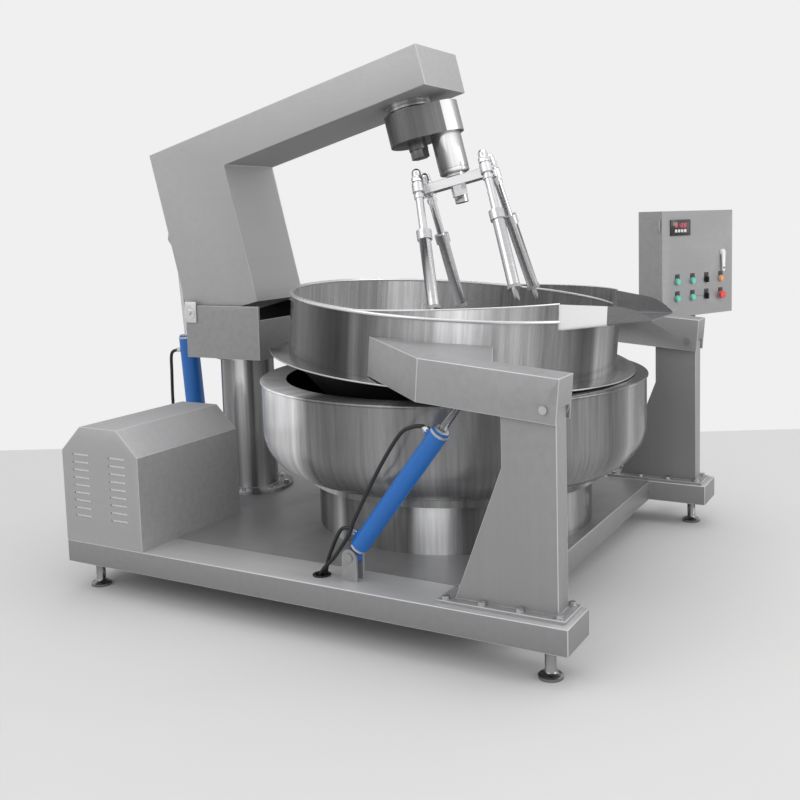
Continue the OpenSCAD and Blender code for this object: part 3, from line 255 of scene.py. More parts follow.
def makePaint(name, colour, rough, wearAndEdgeHighlight, wornAndLitEdge=(0.55, 0.55, 0.56), coat=0.6, peel=180.0):
    material, tree, shader, coord = newMaterial(name)
    marks = useGroup(tree, smudgeGroup, coord, Size=14.0)
    edges = useGroup(tree, edgeWearAndHighlightGroup, coord, Amount=wearAndEdgeHighlight)
    dusty = mixColour(tree, mathNode(tree, "MULTIPLY", marks.outputs["Mask"], 0.3), colour,
        tuple(c * 0.82 + 0.02 for c in colour))
    tree.links.new(mixColour(tree, edges.outputs["Mask"], dusty, wornAndLitEdge), shader.inputs["Base Color"])
    tree.links.new(rangeNode(tree, marks.outputs["Mask"], 0.0, 1.0, rough, rough + 0.12), shader.inputs["Roughness"])
    shader.inputs["Coat Weight"].default_value = coat
    shader.inputs["Coat Roughness"].default_value = 0.12
    addBump(tree, shader, noiseNode(tree, coord, peel, 2.0), 0.12, 0.0004)
    return material


def makePlastic(name, colour, rough, grain=320.0, bump=0.15, coat=0.0, glow=0.0, through=0.0):
    material, tree, shader, coord = newMaterial(name)
    tone = rangeNode(tree, noiseNode(tree, coord, 30.0, 3.0), 0.3, 0.7, 0.0, 1.0)
    tree.links.new(mixColour(tree, tone, tuple(c * 0.86 for c in colour), colour), shader.inputs["Base Color"])
    tree.links.new(rangeNode(tree, noiseNode(tree, coord, 90.0, 3.0), 0.3, 0.7, rough - 0.05, rough + 0.08),
        shader.inputs["Roughness"])
    shader.inputs["Coat Weight"].default_value = coat
    shader.inputs["Subsurface Weight"].default_value = through
    shader.inputs["Subsurface Radius"].default_value = (0.004, 0.004, 0.004)
    if glow:
        shader.inputs["Emission Color"].default_value = (*colour, 1.0)
        shader.inputs["Emission Strength"].default_value = glow
    addBump(tree, shader, noiseNode(tree, coord, grain, 2.0), bump, 0.0003)
    return material


def paintedReflectionStops(middle, paintedReflectionTones):
    # painted reflection tones seen from left to right across a round part, as places round it; the far side takes the
    # outer tones
    stops = []
    for x, tone in paintedReflectionTones:
        stops.append(((middle + math.asin(max(-1.0, min(1.0, x))) / (2 * math.pi)) % 1.0, tone))
    for k in range(1, 8):
        stops.append(((middle + 0.25 + k / 16) % 1.0, paintedReflectionTones[-1][1] if k % 2 else paintedReflectionTones[0][1]))
    stops.sort()
    return stops


def makePaintedReflectionSteel(name, centre, middle, paintedReflectionTones, rough, brushAndReflectionStreak=0.5, fine=30.0, tilt=0.0, metallic=0.5,
        tint=(1.0, 1.0, 1.01)):
    # sheet rolled or turned round an upright line: painted reflection bands run up and down it, with fine streaks
    # between them that are partly brush marks and partly painted reflection streaks
    material, tree, shader, coord = newMaterial(name)
    local = tree.nodes.new("ShaderNodeMapping")
    local.vector_type = "TEXTURE"
    local.inputs["Location"].default_value = centre
    local.inputs["Rotation"].default_value = (0.0, math.radians(tilt), 0.0)
    tree.links.new(coord, local.inputs["Vector"])
    round_ = useGroup(tree, aroundGroup, local.outputs[0], Fine=fine)
    ramp = tree.nodes.new("ShaderNodeValToRGB")
    tree.links.new(round_.outputs["Around"], ramp.inputs[0])
    stops = paintedReflectionStops(middle, paintedReflectionTones)
    ends = ((stops[-1][1] + stops[0][1]) / 2,) * 3 + (1,)
    ramp.color_ramp.elements[0].color = ramp.color_ramp.elements[1].color = ends
    for place, tone in stops:
        ramp.color_ramp.elements.new(min(0.999, max(0.001, place))).color = tuple(tone * c for c in tint) + (1,)
    lines = rangeNode(tree, round_.outputs["Streak"], 0.3, 0.7, 1.0 - brushAndReflectionStreak, 1.0 + brushAndReflectionStreak)
    scale = tree.nodes.new("ShaderNodeVectorMath")
    scale.operation = "SCALE"
    tree.links.new(ramp.outputs[0], scale.inputs[0])
    tree.links.new(lines, scale.inputs["Scale"])
    tree.links.new(scale.outputs[0], shader.inputs["Base Color"])
    marks = useGroup(tree, smudgeGroup, coord, Size=4.0).outputs["Mask"]
    tree.links.new(rangeNode(tree, marks, 0.0, 1.0, rough, rough + 0.08), shader.inputs["Roughness"])
    shader.inputs["Metallic"].default_value = metallic
    addBump(tree, shader, round_.outputs["Streak"], 0.08, 0.0003)
    return material


def makeSootAndShade():
    # steel blued and blackened by the burner, and made near black as painted shade inside the furnace and in the gap
    # round the pot
    material, tree, shader, coord = newMaterial("sootAndPaintedShadeSteel")
    patches = useGroup(tree, smudgeGroup, coord, Size=3.0).outputs["Mask"]
    fine = noiseNode(tree, coord, 60.0, 5.0)
    tree.links.new(mixColour(tree, patches, (0.006, 0.006, 0.006), (0.020, 0.018, 0.017)), shader.inputs["Base Color"])
    tree.links.new(rangeNode(tree, fine, 0.3, 0.7, 0.65, 0.85), shader.inputs["Roughness"])
    shader.inputs["Specular IOR Level"].default_value = 0.2
    addBump(tree, shader, fine, 0.3, 0.0006)
    return material


# the edge amount of each steel lightens its edges: wear, and on the sheet, satin, post, fork and beam steels also a
# painted edge highlight
steelLook = {
    "sheet": dict(colour=(0.40, 0.40, 0.405), dark=(0.375, 0.375, 0.38), rough=0.50, grain=0.04,
        stretch=(6.0, 6.0, 700.0), smudge=(3.0, 0.05), wearAndEdgeHighlight=1.0, bump=0.12, metallic=0.4),
    "satin": dict(colour=(0.34, 0.34, 0.345), dark=(0.315, 0.315, 0.32), rough=0.48, grain=0.04,
        stretch=(6.0, 6.0, 700.0), smudge=(3.0, 0.06), wearAndEdgeHighlight=1.0, bump=0.15, metallic=0.4),
    "post": dict(colour=(0.31, 0.31, 0.315), dark=(0.285, 0.285, 0.29), rough=0.46, grain=0.05,
        stretch=(420.0, 8.0, 6.0), smudge=(3.0, 0.08), wearAndEdgeHighlight=1.0, bump=0.15, metallic=0.4),
    "fork": dict(colour=(0.28, 0.28, 0.285), dark=(0.26, 0.26, 0.265), rough=0.50, grain=0.04,
        stretch=(6.0, 6.0, 500.0), smudge=(3.0, 0.08), wearAndEdgeHighlight=1.0, bump=0.15, metallic=0.4),
    # the beam steel is darkened as painted shade on the beam fronts; the copy below for their tops is lightened as
    # painted light
    "beam": dict(colour=(0.255, 0.255, 0.26), dark=(0.235, 0.235, 0.24), rough=0.46, grain=0.04,
        stretch=(6.0, 6.0, 700.0), smudge=(3.0, 0.06), wearAndEdgeHighlight=0.6, bump=0.15, metallic=0.4),
    "beamLitTop": dict(colour=(0.52, 0.52, 0.525), dark=(0.46, 0.46, 0.465), rough=0.36, grain=0.04,
        stretch=(6.0, 300.0, 60.0), smudge=(3.0, 0.08), wearAndEdgeHighlight=0.0, bump=0.15, metallic=0.3),
    "footSteel": dict(colour=(0.34, 0.34, 0.345), dark=(0.20, 0.20, 0.205), rough=0.20, grain=0.04,
        stretch=(60.0, 60.0, 60.0), smudge=(9.0, 0.1), wearAndEdgeHighlight=0.0, bump=0.1),
    # the lighter steel on rounded folds and edges, a painted highlight
    "paintedFoldHighlight": dict(colour=(0.66, 0.66, 0.665), dark=(0.46, 0.46, 0.465), rough=0.34, grain=0.05,
        stretch=(60.0, 60.0, 60.0), smudge=(9.0, 0.1), wearAndEdgeHighlight=0.0, bump=0.1, metallic=0.4),
    "floor": dict(colour=(0.34, 0.34, 0.345), dark=(0.28, 0.28, 0.285), rough=0.34, grain=0.06,
        stretch=(5.0, 320.0, 40.0), smudge=(4.0, 0.16), wearAndEdgeHighlight=0.0, bump=0.15, metallic=0.5),
    "shadow": dict(colour=(0.03, 0.03, 0.03), dark=(0.02, 0.02, 0.02), rough=0.55, grain=0.04,
        stretch=(6.0, 6.0, 300.0), smudge=(3.0, 0.05), wearAndEdgeHighlight=0.0, bump=0.1),
    "bright": dict(colour=(0.78, 0.78, 0.79), dark=(0.68, 0.68, 0.69), rough=0.28, grain=0.04,
        stretch=(60.0, 60.0, 300.0), smudge=(8.0, 0.05), wearAndEdgeHighlight=0.2, bump=0.1),
    "turned": dict(colour=(0.66, 0.66, 0.67), dark=(0.50, 0.50, 0.51), rough=0.20, grain=0.04,
        stretch=(14.0, 14.0, 900.0), smudge=(8.0, 0.05), wearAndEdgeHighlight=0.2, bump=0.15),
    "chromed": dict(colour=(0.80, 0.80, 0.82), dark=(0.70, 0.70, 0.72), rough=0.09, grain=0.02,
        stretch=(40.0, 40.0, 500.0), smudge=(12.0, 0.05), wearAndEdgeHighlight=0.1, bump=0.05),
    "zinc": dict(colour=(0.58, 0.59, 0.60), dark=(0.44, 0.45, 0.46), rough=0.30, grain=0.06,
        stretch=(90.0, 90.0, 90.0), smudge=(30.0, 0.15), wearAndEdgeHighlight=0.3, bump=0.3),
    "fitting": dict(colour=(0.74, 0.74, 0.74), dark=(0.52, 0.52, 0.52), rough=0.24, grain=0.06,
        stretch=(200.0, 200.0, 200.0), smudge=(40.0, 0.15), wearAndEdgeHighlight=0.2, bump=0.2),
    # the spout's floor and near wing are painted near white as a highlight; its far wing and tip dark grey as painted
    # shade
    "spoutPaintedHighlight": dict(colour=(0.95, 0.95, 0.95), dark=(0.92, 0.92, 0.92), rough=0.30, grain=0.04,
        stretch=(200.0, 10.0, 60.0), smudge=(8.0, 0.05), wearAndEdgeHighlight=0.0, bump=0.05, metallic=0.2),
    "spoutPaintedShade": dict(colour=(0.26, 0.26, 0.265), dark=(0.13, 0.13, 0.135), rough=0.24, grain=0.04,
        stretch=(30.0, 10.0, 120.0), smudge=(8.0, 0.05), wearAndEdgeHighlight=0.0, bump=0.08, metallic=0.5),
    "weld": dict(colour=(0.50, 0.49, 0.48), dark=(0.30, 0.29, 0.28), rough=0.44, grain=0.08,
        stretch=(260.0, 260.0, 260.0), smudge=(60.0, 0.2), wearAndEdgeHighlight=0.0, bump=0.4),
    "iron": dict(colour=(0.10, 0.10, 0.10), dark=(0.05, 0.05, 0.05), rough=0.60, grain=0.08,
        stretch=(120.0, 120.0, 120.0), smudge=(30.0, 0.2), wearAndEdgeHighlight=0.2, bump=0.8),
}
metals = {name: makeMetal(name + "Steel", **look) for name, look in steelLook.items()}

# rolled and turned parts, whose bands are painted reflections: (centre in mm, side that faces the middle of the bands,
# tones from left to right)
paintedReflectionLook = {
    "column": dict(centre=at(172, 1018, 0), middle=0.3575, rough=0.20, brushAndReflectionStreak=0.22, fine=9.0,
        paintedReflectionTones=((-1, 0.2), (-0.9, 0.3), (-0.75, 0.2), (-0.6, 0.30), (-0.5, 0.38), (-0.35, 0.9), (-0.22, 1.0), (-0.1, 0.5),
            (0.0, 0.12), (0.15, 0.14), (0.25, 0.55), (0.45, 0.75), (0.6, 0.5), (0.72, 0.2), (0.85, 0.12), (1, 0.2))),
    "shell": dict(centre=at(1300, 1018, 0), middle=0.325, rough=0.17, brushAndReflectionStreak=0.26, fine=26.0,
        paintedReflectionTones=((-1, 0.5), (-0.95, 0.7), (-0.9, 1.0), (-0.82, 1.0), (-0.74, 0.9), (-0.68, 0.2), (-0.55, 0.14),
            (-0.45, 0.18), (-0.33, 0.30), (-0.2, 0.21), (-0.1, 0.30), (0.0, 0.23), (0.2, 0.20), (0.45, 0.21), (0.62, 0.24), (0.72, 0.12), (0.79, 0.15),
            (0.83, 0.36), (0.88, 0.14), (1, 0.12))),
    "collar": dict(centre=potPose @ at(1300, 1018, 960), tilt=5.0, middle=0.325, rough=0.15, brushAndReflectionStreak=0.30, fine=26.0,
        paintedReflectionTones=((-1, 0.45), (-0.95, 0.10), (-0.8, 0.08), (-0.66, 0.04), (-0.58, 0.06), (-0.54, 0.20), (-0.49, 0.11),
            (-0.36, 0.32), (-0.24, 0.46), (-0.13, 0.66), (-0.05, 1.0), (0.03, 1.0), (0.1, 0.78), (0.22, 0.5), (0.38, 0.42),
            (0.46, 0.24), (0.6, 0.19), (0.7, 0.08), (0.76, 0.10), (0.8, 0.40), (0.86, 0.32), (0.9, 0.12), (1, 0.09))),
    "inner": dict(centre=potPose @ at(1300, 1018, 960), tilt=5.0, middle=0.825, rough=0.24, brushAndReflectionStreak=0.30, fine=34.0,
        metallic=0.4,
        paintedReflectionTones=((-1, 0.20), (-0.7, 0.22), (-0.4, 0.20), (-0.1, 0.34), (0.15, 0.55), (0.32, 1.0), (0.42, 0.9), (0.55, 0.45),
            (0.8, 0.6), (1, 0.4))),
    "base": dict(centre=at(1300, 1018, 0), middle=0.325, rough=0.18, brushAndReflectionStreak=0.25, fine=22.0,
        paintedReflectionTones=((-1, 0.05), (-0.92, 0.09), (-0.85, 0.28), (-0.79, 0.80), (-0.74, 0.15), (-0.66, 0.22), (-0.5, 0.17),
            (-0.36, 0.19), (-0.31, 0.14), (-0.27, 0.55), (-0.15, 0.95), (-0.08, 0.85), (-0.02, 0.4), (0.05, 0.15),
            (0.3, 0.22), (0.6, 0.14), (0.75, 0.45), (0.85, 0.16), (1, 0.08))),
    "spindle": dict(centre=armPose @ at(1421.7, 1057.6, 1431), tilt=-14.2, middle=0.34, rough=0.16, brushAndReflectionStreak=0.10, fine=14.0,
        paintedReflectionTones=((-1, 0.22), (-0.75, 0.13), (-0.55, 0.20), (-0.35, 0.5), (-0.1, 0.95), (0.25, 1.0), (0.45, 0.85), (0.65, 0.5),
            (0.85, 0.24), (1, 0.45))),
    "housing": dict(centre=armPose @ at(1300, 1018, 1583), tilt=-14.2, middle=0.33, rough=0.22, brushAndReflectionStreak=0.22, fine=16.0,
        paintedReflectionTones=((-1, 0.18), (-0.8, 0.08), (-0.5, 0.15), (-0.2, 0.11), (0.2, 0.13), (0.6, 0.2), (1, 0.3))),
    "ring": dict(centre=armPose @ at(1300, 1018, 1672), tilt=-14.2, middle=0.33, rough=0.20, brushAndReflectionStreak=0.2, fine=14.0,
        paintedReflectionTones=((-1, 0.36), (-0.75, 0.26), (-0.55, 0.85), (-0.45, 0.5), (-0.1, 0.38), (0.1, 0.2), (0.5, 0.24), (0.8, 0.32),
            (1, 0.7))),
}
for name, look in paintedReflectionLook.items():
    metals[name] = makePaintedReflectionSteel(name + "Steel", **look)
bluePaint = makePaint("blueEnamel", (0.003, 0.13, 0.47), 0.42, 0.0, coat=0.15)
machinePaint = makePaint("greyBlueEnamel", (0.06, 0.10, 0.13), 0.35, 0.3)
blackPaint = makePaint("blackEnamel", (0.015, 0.015, 0.016), 0.35, 0.3)
hoseRubber = makePlastic("hoseRubber", (0.012, 0.012, 0.013), 0.45, 500.0, 0.4)
sealRubber = makePlastic("sealRubber", (0.010, 0.010, 0.010), 0.60, 400.0, 0.4)
whitePlastic = makePlastic("paleScraper", (0.42, 0.42, 0.41), 0.38, 260.0, 0.2, 0.0, 0.0, 0.15)
blackPlastic = makePlastic("blackPlastic", (0.012, 0.012, 0.013), 0.32, 420.0, 0.15, 0.2)
palePlastic = makePlastic("greyPlastic", (0.55, 0.55, 0.53), 0.42)
leverPlastic = makePlastic("leverWhite", (0.86, 0.86, 0.85), 0.32)
keyPlastic = makePlastic("keyPlastic", (0.72, 0.72, 0.70), 0.35)
greenPlastic = makePlastic("greenLens", (0.10, 0.60, 0.46), 0.30, 300.0, 0.1, 0.3, 0.12, 0.2)
amberPlastic = makePlastic("amberLens", (0.80, 0.32, 0.08), 0.30, 300.0, 0.1, 0.3, 0.12, 0.2)
redPlastic = makePlastic("redMushroom", (0.78, 0.07, 0.07), 0.30, 300.0, 0.1, 0.3)
redGlow = makePlastic("redDigits", (0.80, 0.06, 0.10), 0.40, 300.0, 0.0, 0.0, 0.5)
darkGlass = makePlastic("darkWindow", (0.020, 0.008, 0.010), 0.12, 200.0, 0.02, 0.6)
sootAndShadeSteel = makeSootAndShade()
print("materials made")


# ---- mesh helpers
def finishPiece(name, bm, materials, body, pose=still, smooth=35.0, replaces=()):
    bmesh.ops.remove_doubles(bm, verts=bm.verts, dist=1e-6)
    bmesh.ops.recalc_face_normals(bm, faces=bm.faces)
    bm.transform(pose)
    mesh = bpy.data.meshes.new(name)
    bm.to_mesh(mesh)
    bm.free()
    return addPiece(name, mesh, materials, body, smooth, replaces)


def addPiece(name, mesh, materials, body, smooth=35.0, replaces=()):
    piece = bpy.data.objects.new(name, mesh)
    scene.collection.objects.link(piece)
    if mesh.materials:
        mesh.materials.clear()
    for material in (materials if isinstance(materials, (list, tuple)) else [materials]):
        mesh.materials.append(material)
    mesh.polygons.foreach_set("use_smooth", [True] * len(mesh.polygons))
    mesh.set_sharp_from_angle(angle=math.radians(smooth))
    if body:
        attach(piece, body)
    if replaces:
        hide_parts(*replaces)
    return piece


def dressNode(node, material, bevel=0.0, smooth=30.0, segments=2, inner=None, paintedFoldHighlight=None):
    # a merged, smooth copy of a CAD node, its long straight edges slightly rounded and, if a second metal is given, in
    # that lighter metal as a painted highlight
    source = nodes[node]
    bm = bmesh.new()
    bm.from_mesh(source.data)
    bmesh.ops.remove_doubles(bm, verts=bm.verts, dist=2e-6)
    bmesh.ops.dissolve_limit(bm, angle_limit=math.radians(0.4), verts=bm.verts, edges=bm.edges)
    if bevel:
        picked = []
        for edge in bm.edges:
            if len(edge.link_faces) != 2 or edge.calc_length() < 0.02 or not edge.is_convex:
                continue
            if edge.calc_face_angle() < math.radians(24):
                continue
            if min(f.calc_area() / edge.calc_length() for f in edge.link_faces) < 2.4 * bevel:
                continue
            picked.append(edge)
        if picked:
            bmesh.ops.bevel(bm, geom=picked, offset=bevel, offset_type="OFFSET", segments=segments,
                profile=0.5, affect="EDGES", clamp_overlap=False, material=1 if paintedFoldHighlight else -1)
    # inner gives the faces it picks a second metal: painted shade inside the fork, painted light on the beam tops
    if inner:
        for face in bm.faces:
            if inner[1](face.calc_center_median(), face.normal):
                face.material_index = 2
    mesh = bpy.data.meshes.new(node + "Dressed")
    bm.to_mesh(mesh)
    bm.free()
    finishes = [material, paintedFoldHighlight or material] + ([inner[0]] if inner else [])
    return addPiece(node + "Dressed", mesh, finishes if paintedFoldHighlight or inner else material, source["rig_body"], smooth, (node,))


def latheMesh(bm, profile, centre, segments=128, closed=True, slots=None, axis=None):
    # profile is a list of (radius, height) in mm round the vertical line through centre, or round an axis matrix
    frameMatrix = axis or Matrix.Translation(centre)
    rings = []
    for r, z in profile:
        if r < 1e-6:
            rings.append([bm.verts.new(frameMatrix @ Vector((0, 0, z * 0.001)))])
            continue
        rings.append([bm.verts.new(frameMatrix @ Vector((r * 0.001 * math.cos(a), r * 0.001 * math.sin(a), z * 0.001)))
            for a in (2 * math.pi * k / segments for k in range(segments))])
    pairs = list(zip(rings, rings[1:]))
    if closed:
        pairs.append((rings[-1], rings[0]))
    for row, (low, high) in enumerate(pairs):
        slot = slots[row] if slots else 0
        for k in range(segments):
            n = (k + 1) % segments
            if len(low) == 1 and len(high) == 1:
                break
            if len(low) == 1:
                face = bm.faces.new((low[0], high[n], high[k]))
            elif len(high) == 1:
                face = bm.faces.new((low[k], low[n], high[0]))
            else:
                face = bm.faces.new((low[k], low[n], high[n], high[k]))
            face.material_index = slot


def rounded(profile, radius, steps=4):
    # the same closed outline with each corner turned into a short arc
    result = []
    count = len(profile)
    for k in range(count):
        before, here, after = (Vector(profile[(k + d) % count]) for d in (-1, 0, 1))
        a, b = before - here, after - here
        cut = min(radius, a.length * 0.45, b.length * 0.45)
        if cut < 0.05:
            result.append(tuple(here))
            continue
        a, b = here + a.normalized() * cut, here + b.normalized() * cut
        for s in range(steps + 1):
            t = s / steps
            result.append(tuple(a * (1 - t) ** 2 + here * 2 * t * (1 - t) + b * t * t))
    return result


def lathePiece(name, profile, centre, material, body, pose=still, segments=128, closed=True, replaces=(),
               slots=None, smooth=35.0, axis=None):
    bm = bmesh.new()
    latheMesh(bm, profile, centre, segments, closed, slots, axis)
    return finishPiece(name, bm, material, body, pose, smooth, replaces)


def boxMesh(bm, low, high, bevel=0.0, pose=still):
    corners = [Vector((x, y, z)) * 0.001 for x in (low[0], high[0]) for y in (low[1], high[1]) for z in (low[2], high[2])]
    verts = [bm.verts.new(pose @ c) for c in corners]
    faces = [bm.faces.new([verts[i] for i in ids]) for ids in
        ((0, 1, 3, 2), (4, 6, 7, 5), (0, 4, 5, 1), (2, 3, 7, 6), (0, 2, 6, 4), (1, 5, 7, 3))]
    if bevel:
        edges = list({e for f in faces for e in f.edges})
        bmesh.ops.bevel(bm, geom=edges, offset=bevel * 0.001, offset_type="OFFSET", segments=2, profile=0.5,
            affect="EDGES", clamp_overlap=True)


def prismMesh(bm, outline, depth, pose):
    # a flat outline in mm in the xy plane of pose, extruded along its z
    low = [bm.verts.new(pose @ Vector((x * 0.001, y * 0.001, 0))) for x, y in outline]
    high = [bm.verts.new(pose @ Vector((x * 0.001, y * 0.001, depth * 0.001))) for x, y in outline]
    bm.faces.new(low[::-1])
    bm.faces.new(high)
    for k in range(len(outline)):
        n = (k + 1) % len(outline)
        bm.faces.new((low[k], low[n], high[n], high[k]))


def splinePoints(points, steps):
    result = []
    for i in range(len(points) - 1):
        a, b, c, d = (points[max(i - 1, 0)], points[i], points[i + 1], points[min(i + 2, len(points) - 1)])
        for k in range(steps + (1 if i == len(points) - 2 else 0)):
            t = k / steps
            result.append(0.5 * (2 * b + (c - a) * t + (2 * a - 5 * b + 4 * c - d) * t * t
                + (3 * b - 3 * c + d - a) * t ** 3))
    return result


def tubeMesh(bm, points, radius, sides=16):
    side = None
    rings = []
    for i, p in enumerate(points):
        along = (points[min(i + 1, len(points) - 1)] - points[max(i - 1, 0)]).normalized()
        if side is None:
            side = along.cross(Vector((0.1, 1, 0.2))).normalized()
        side = (side - along * side.dot(along)).normalized()
        up = along.cross(side)
        rings.append([bm.verts.new(p + radius * (math.cos(a) * side + math.sin(a) * up))
            for a in (2 * math.pi * k / sides for k in range(sides))])
    for low, high in zip(rings, rings[1:]):
        for k in range(sides):
            n = (k + 1) % sides
            bm.faces.new((low[k], high[k], high[n], low[n]))
    bm.faces.new(rings[0])
    bm.faces.new(rings[-1][::-1])


def facing(direction, point):
    # a matrix whose z runs along direction, at point
    return Matrix.Translation(point) @ Vector(direction).to_track_quat("Z", "Y").to_matrix().to_4x4()


# ---- camera at the photograph's viewpoint
cameraLook = {"place": at(3271, -2851, 1492), "yaw": 28.97, "pitch": 6.10, "roll": 1.55,
    "lens": 45.234, "shiftX": -0.0215, "shiftY": -0.0911}


def makeCamera():
    yaw, pitch, roll = (math.radians(cameraLook[k]) for k in ("yaw", "pitch", "roll"))
    forward = Vector((-math.sin(yaw) * math.cos(pitch), math.cos(yaw) * math.cos(pitch), -math.sin(pitch)))
    right = Vector((math.cos(yaw), math.sin(yaw), 0))
    down = forward.cross(right)
    turnedRight = math.cos(roll) * right + math.sin(roll) * down
    turnedDown = -math.sin(roll) * right + math.cos(roll) * down
    data = bpy.data.cameras.new("photoCamera")
    data.lens = cameraLook["lens"]
    data.sensor_width = 36
    data.shift_x = cameraLook["shiftX"]
    data.shift_y = cameraLook["shiftY"]
    data.clip_end = 200
    camera = bpy.data.objects.new("photoCamera", data)
    columns = Matrix((turnedRight, -turnedDown, -forward)).transposed().to_4x4()
    camera.matrix_world = Matrix.Translation(cameraLook["place"]) @ columns
    scene.collection.objects.link(camera)
    scene.camera = camera
    return forward, right


cameraForward, cameraRight = makeCamera()

# ---- base frame
dressing = {
    # node: (material, rounding in mm, slot)
    "front_beam": ("beam", 3.0, "brushed"), "rear_beam": ("beam", 3.0, "brushed"),
    "cross_members": ("beam", 2.0, "brushed"), "floor_plate": ("floor", 0.0, "plate"),
    "power_pack_cover": ("sheet", 1.8, "brushed"), "column": ("column", 0.0, "bright"),
    "column_head": ("fork", 1.5, "brushed"), "arm_pin": ("bright", 1.0, "hard_chrome"),
    "cylinder_lugs": ("fork", 1.0, "brushed"), "furnace_base": ("base", 0.0, "bright"),
    "gas_burner": ("iron", 0.0, "burner_iron"), "front_post": ("post", 2.5, "brushed"),
    "rear_post": ("post", 2.5, "brushed"), "cabinet_pole": ("satin", 1.5, "brushed"),
    "rear_rod": ("chromed", 0.0, "hard_chrome"), "front_rod": ("chromed", 0.0, "hard_chrome"),
    "planet_shaft": ("turned", 0.0, "bright"), "stirrer_bar": ("bright", 1.2, "bright"),
    "scraper_rods": ("chromed", 0.8, "bright"), "pot_pins": ("zinc", 1.0, "hard_chrome"),
    "front_pot_arm": ("post", 2.5, "brushed"), "rear_pot_arm": ("post", 2.5, "brushed"),
    "cabinet_box": ("satin", 1.5, "brushed"), "cabinet_door": ("satin", 1.5, "brushed"),
}


def forkInside(centre, normal):
    # faces that look into the fork, where the arm shades the sheet
    low, high = at(-26, 825.5, 881), at(398.5, 1210.5, 1200)
    return low.y < centre.y < high.y and low.z < centre.z and low.x < centre.x < high.x


def facesUp(centre, normal):
    # the tops of the two long beams, which take the lighter copy of the beam steel as painted light
    return normal.z > 0.95


# faces that take a second metal: painted shade inside the fork, painted light on the beam tops
paintedShadeAndLight = {"column_head": (metals["shadow"], forkInside), "front_beam": (metals["beamLitTop"], facesUp),
    "rear_beam": (metals["beamLitTop"], facesUp)}
# the rounded edges of the post, fork, beam and sheet steels take the lighter steel as a painted highlight
for node, (finish, rounding, slot) in dressing.items():
    dressNode(node, metals[finish], rounding * 0.001, inner=paintedShadeAndLight.get(node),
        paintedFoldHighlight=metals["paintedFoldHighlight"] if finish in ("post", "fork", "beam", "sheet") else None)
for k in range(1, 5):
    dressNode(f"scraper_tube_{k}", metals["turned"], 0.0008)
    dressNode(f"scraper_blade_{k}", whitePlastic, 0.001)
for node, material, rounding, slot in (
        ("oil_tank", blackPaint, 3, "tank_paint"), ("pump_motor", machinePaint, 1, "motor_paint"),
        ("drive_motor", machinePaint, 2, "motor_paint"), ("rear_barrel", bluePaint, 0.8, "blue_paint"),
        ("front_barrel", bluePaint, 0.8, "blue_paint"), ("switchgear", palePlastic, 1, "switchgear_grey"),
        ("panel_meter", blackPlastic, 0.8, "meter_case"),
        ("levelling_feet", metals["footSteel"], 0.5, "hard_chrome"), ("door_handle", leverPlastic, 0.8, "bright"),
        ("green_button_1", greenPlastic, 0.6, "button_green"), ("green_button_2", greenPlastic, 0.6, "button_green"),
        ("green_button_3", greenPlastic, 0.6, "button_green"), ("green_button_4", greenPlastic, 0.6, "button_green"),
        ("amber_button", amberPlastic, 0.6, "button_amber"), ("stop_button", redPlastic, 0.6, "button_red"),
        ("selector_1", blackPlastic, 0.6, "switch_black"), ("selector_2", blackPlastic, 0.6, "switch_black")):
    dressNode(node, material, rounding * 0.001)
print("CAD nodes dressed")

# ---- furnace shell and pot, turned far finer than the CAD mesh
furnace = {"centre": (1300, 1018), "radius": 826, "wall": 4, "top": 831.7, "band": 210, "foot": 405, "ringRadius": 640,
    "ringHeight": 34, "seat": 722}
pot = {"radius": 700, "wall": 3, "collar": 838, "rim": 1088, "sphere": 847, "sphereCentre": 1315, "flange": 785,
    "guard": 62, "guardFrom": -60, "lip": 40, "mouth": 30.0}


def furnaceProfile():
    f = furnace
    bandZ = f["top"] - f["band"]
    inward = f["radius"] - f["ringRadius"] + 10
    height = bandZ - f["foot"] - f["ringHeight"]

    def curve(w, steps=28):
        return [(f["radius"] - w - inward + inward * math.cos(a), bandZ - (height - w) * math.sin(a))
            for a in (math.pi / 2 * k / steps for k in range(steps + 1))]

    outer = [(f["seat"], f["top"]), (f["radius"] + 1, f["top"])]
    outer += [(f["radius"] + 1 + 6 * math.sin(a), f["top"] - 5 + 5 * math.cos(a)) for a in
        (math.pi * k / 8 for k in range(1, 9))]
    outer += [(f["radius"], f["top"] - 11)] + curve(0)
    outer += [(f["ringRadius"], f["foot"] + f["ringHeight"]), (f["ringRadius"], f["foot"])]
    inner = [(590, f["foot"]), (590, f["foot"] + f["ringHeight"] + 4)] + curve(f["wall"])[::-1]
    inner += [(f["radius"] - f["wall"], f["top"] - f["wall"]), (f["seat"], f["top"] - f["wall"])]
    return outer + inner, [0] * (len(outer) - 1) + [1] * (len(inner) + 1)


profile, slots = furnaceProfile()
lathePiece("furnaceShell", profile, at(*furnace["centre"], 0), [metals["shell"], sootAndShadeSteel], "base",
    segments=192, replaces=("furnace_shell",), slots=slots)


def bowlProfile(steps=48):
    top = math.asin((pot["collar"] - pot["sphereCentre"]) / pot["sphere"])
    angles = [-math.pi / 2 + (top + math.pi / 2) * k / steps for k in range(steps + 1)]

    def arc(r):
        return [(max(0.0, r * math.cos(a)), pot["sphereCentre"] + r * math.sin(a)) for a in angles]

    outer, inner = arc(pot["sphere"] + pot["wall"]), arc(pot["sphere"])
    outer[0], inner[0] = (0.0, outer[0][1]), (0.0, inner[0][1])
    return outer + inner[::-1], [1] * steps + [0] * (steps + 2)


profile, slots = bowlProfile()
lathePiece("potBowl", profile, at(*furnace["centre"], 0), [metals["inner"], sootAndShadeSteel], "pot", potPose, 192,
    closed=False, replaces=("pot_bowl",), slots=slots)


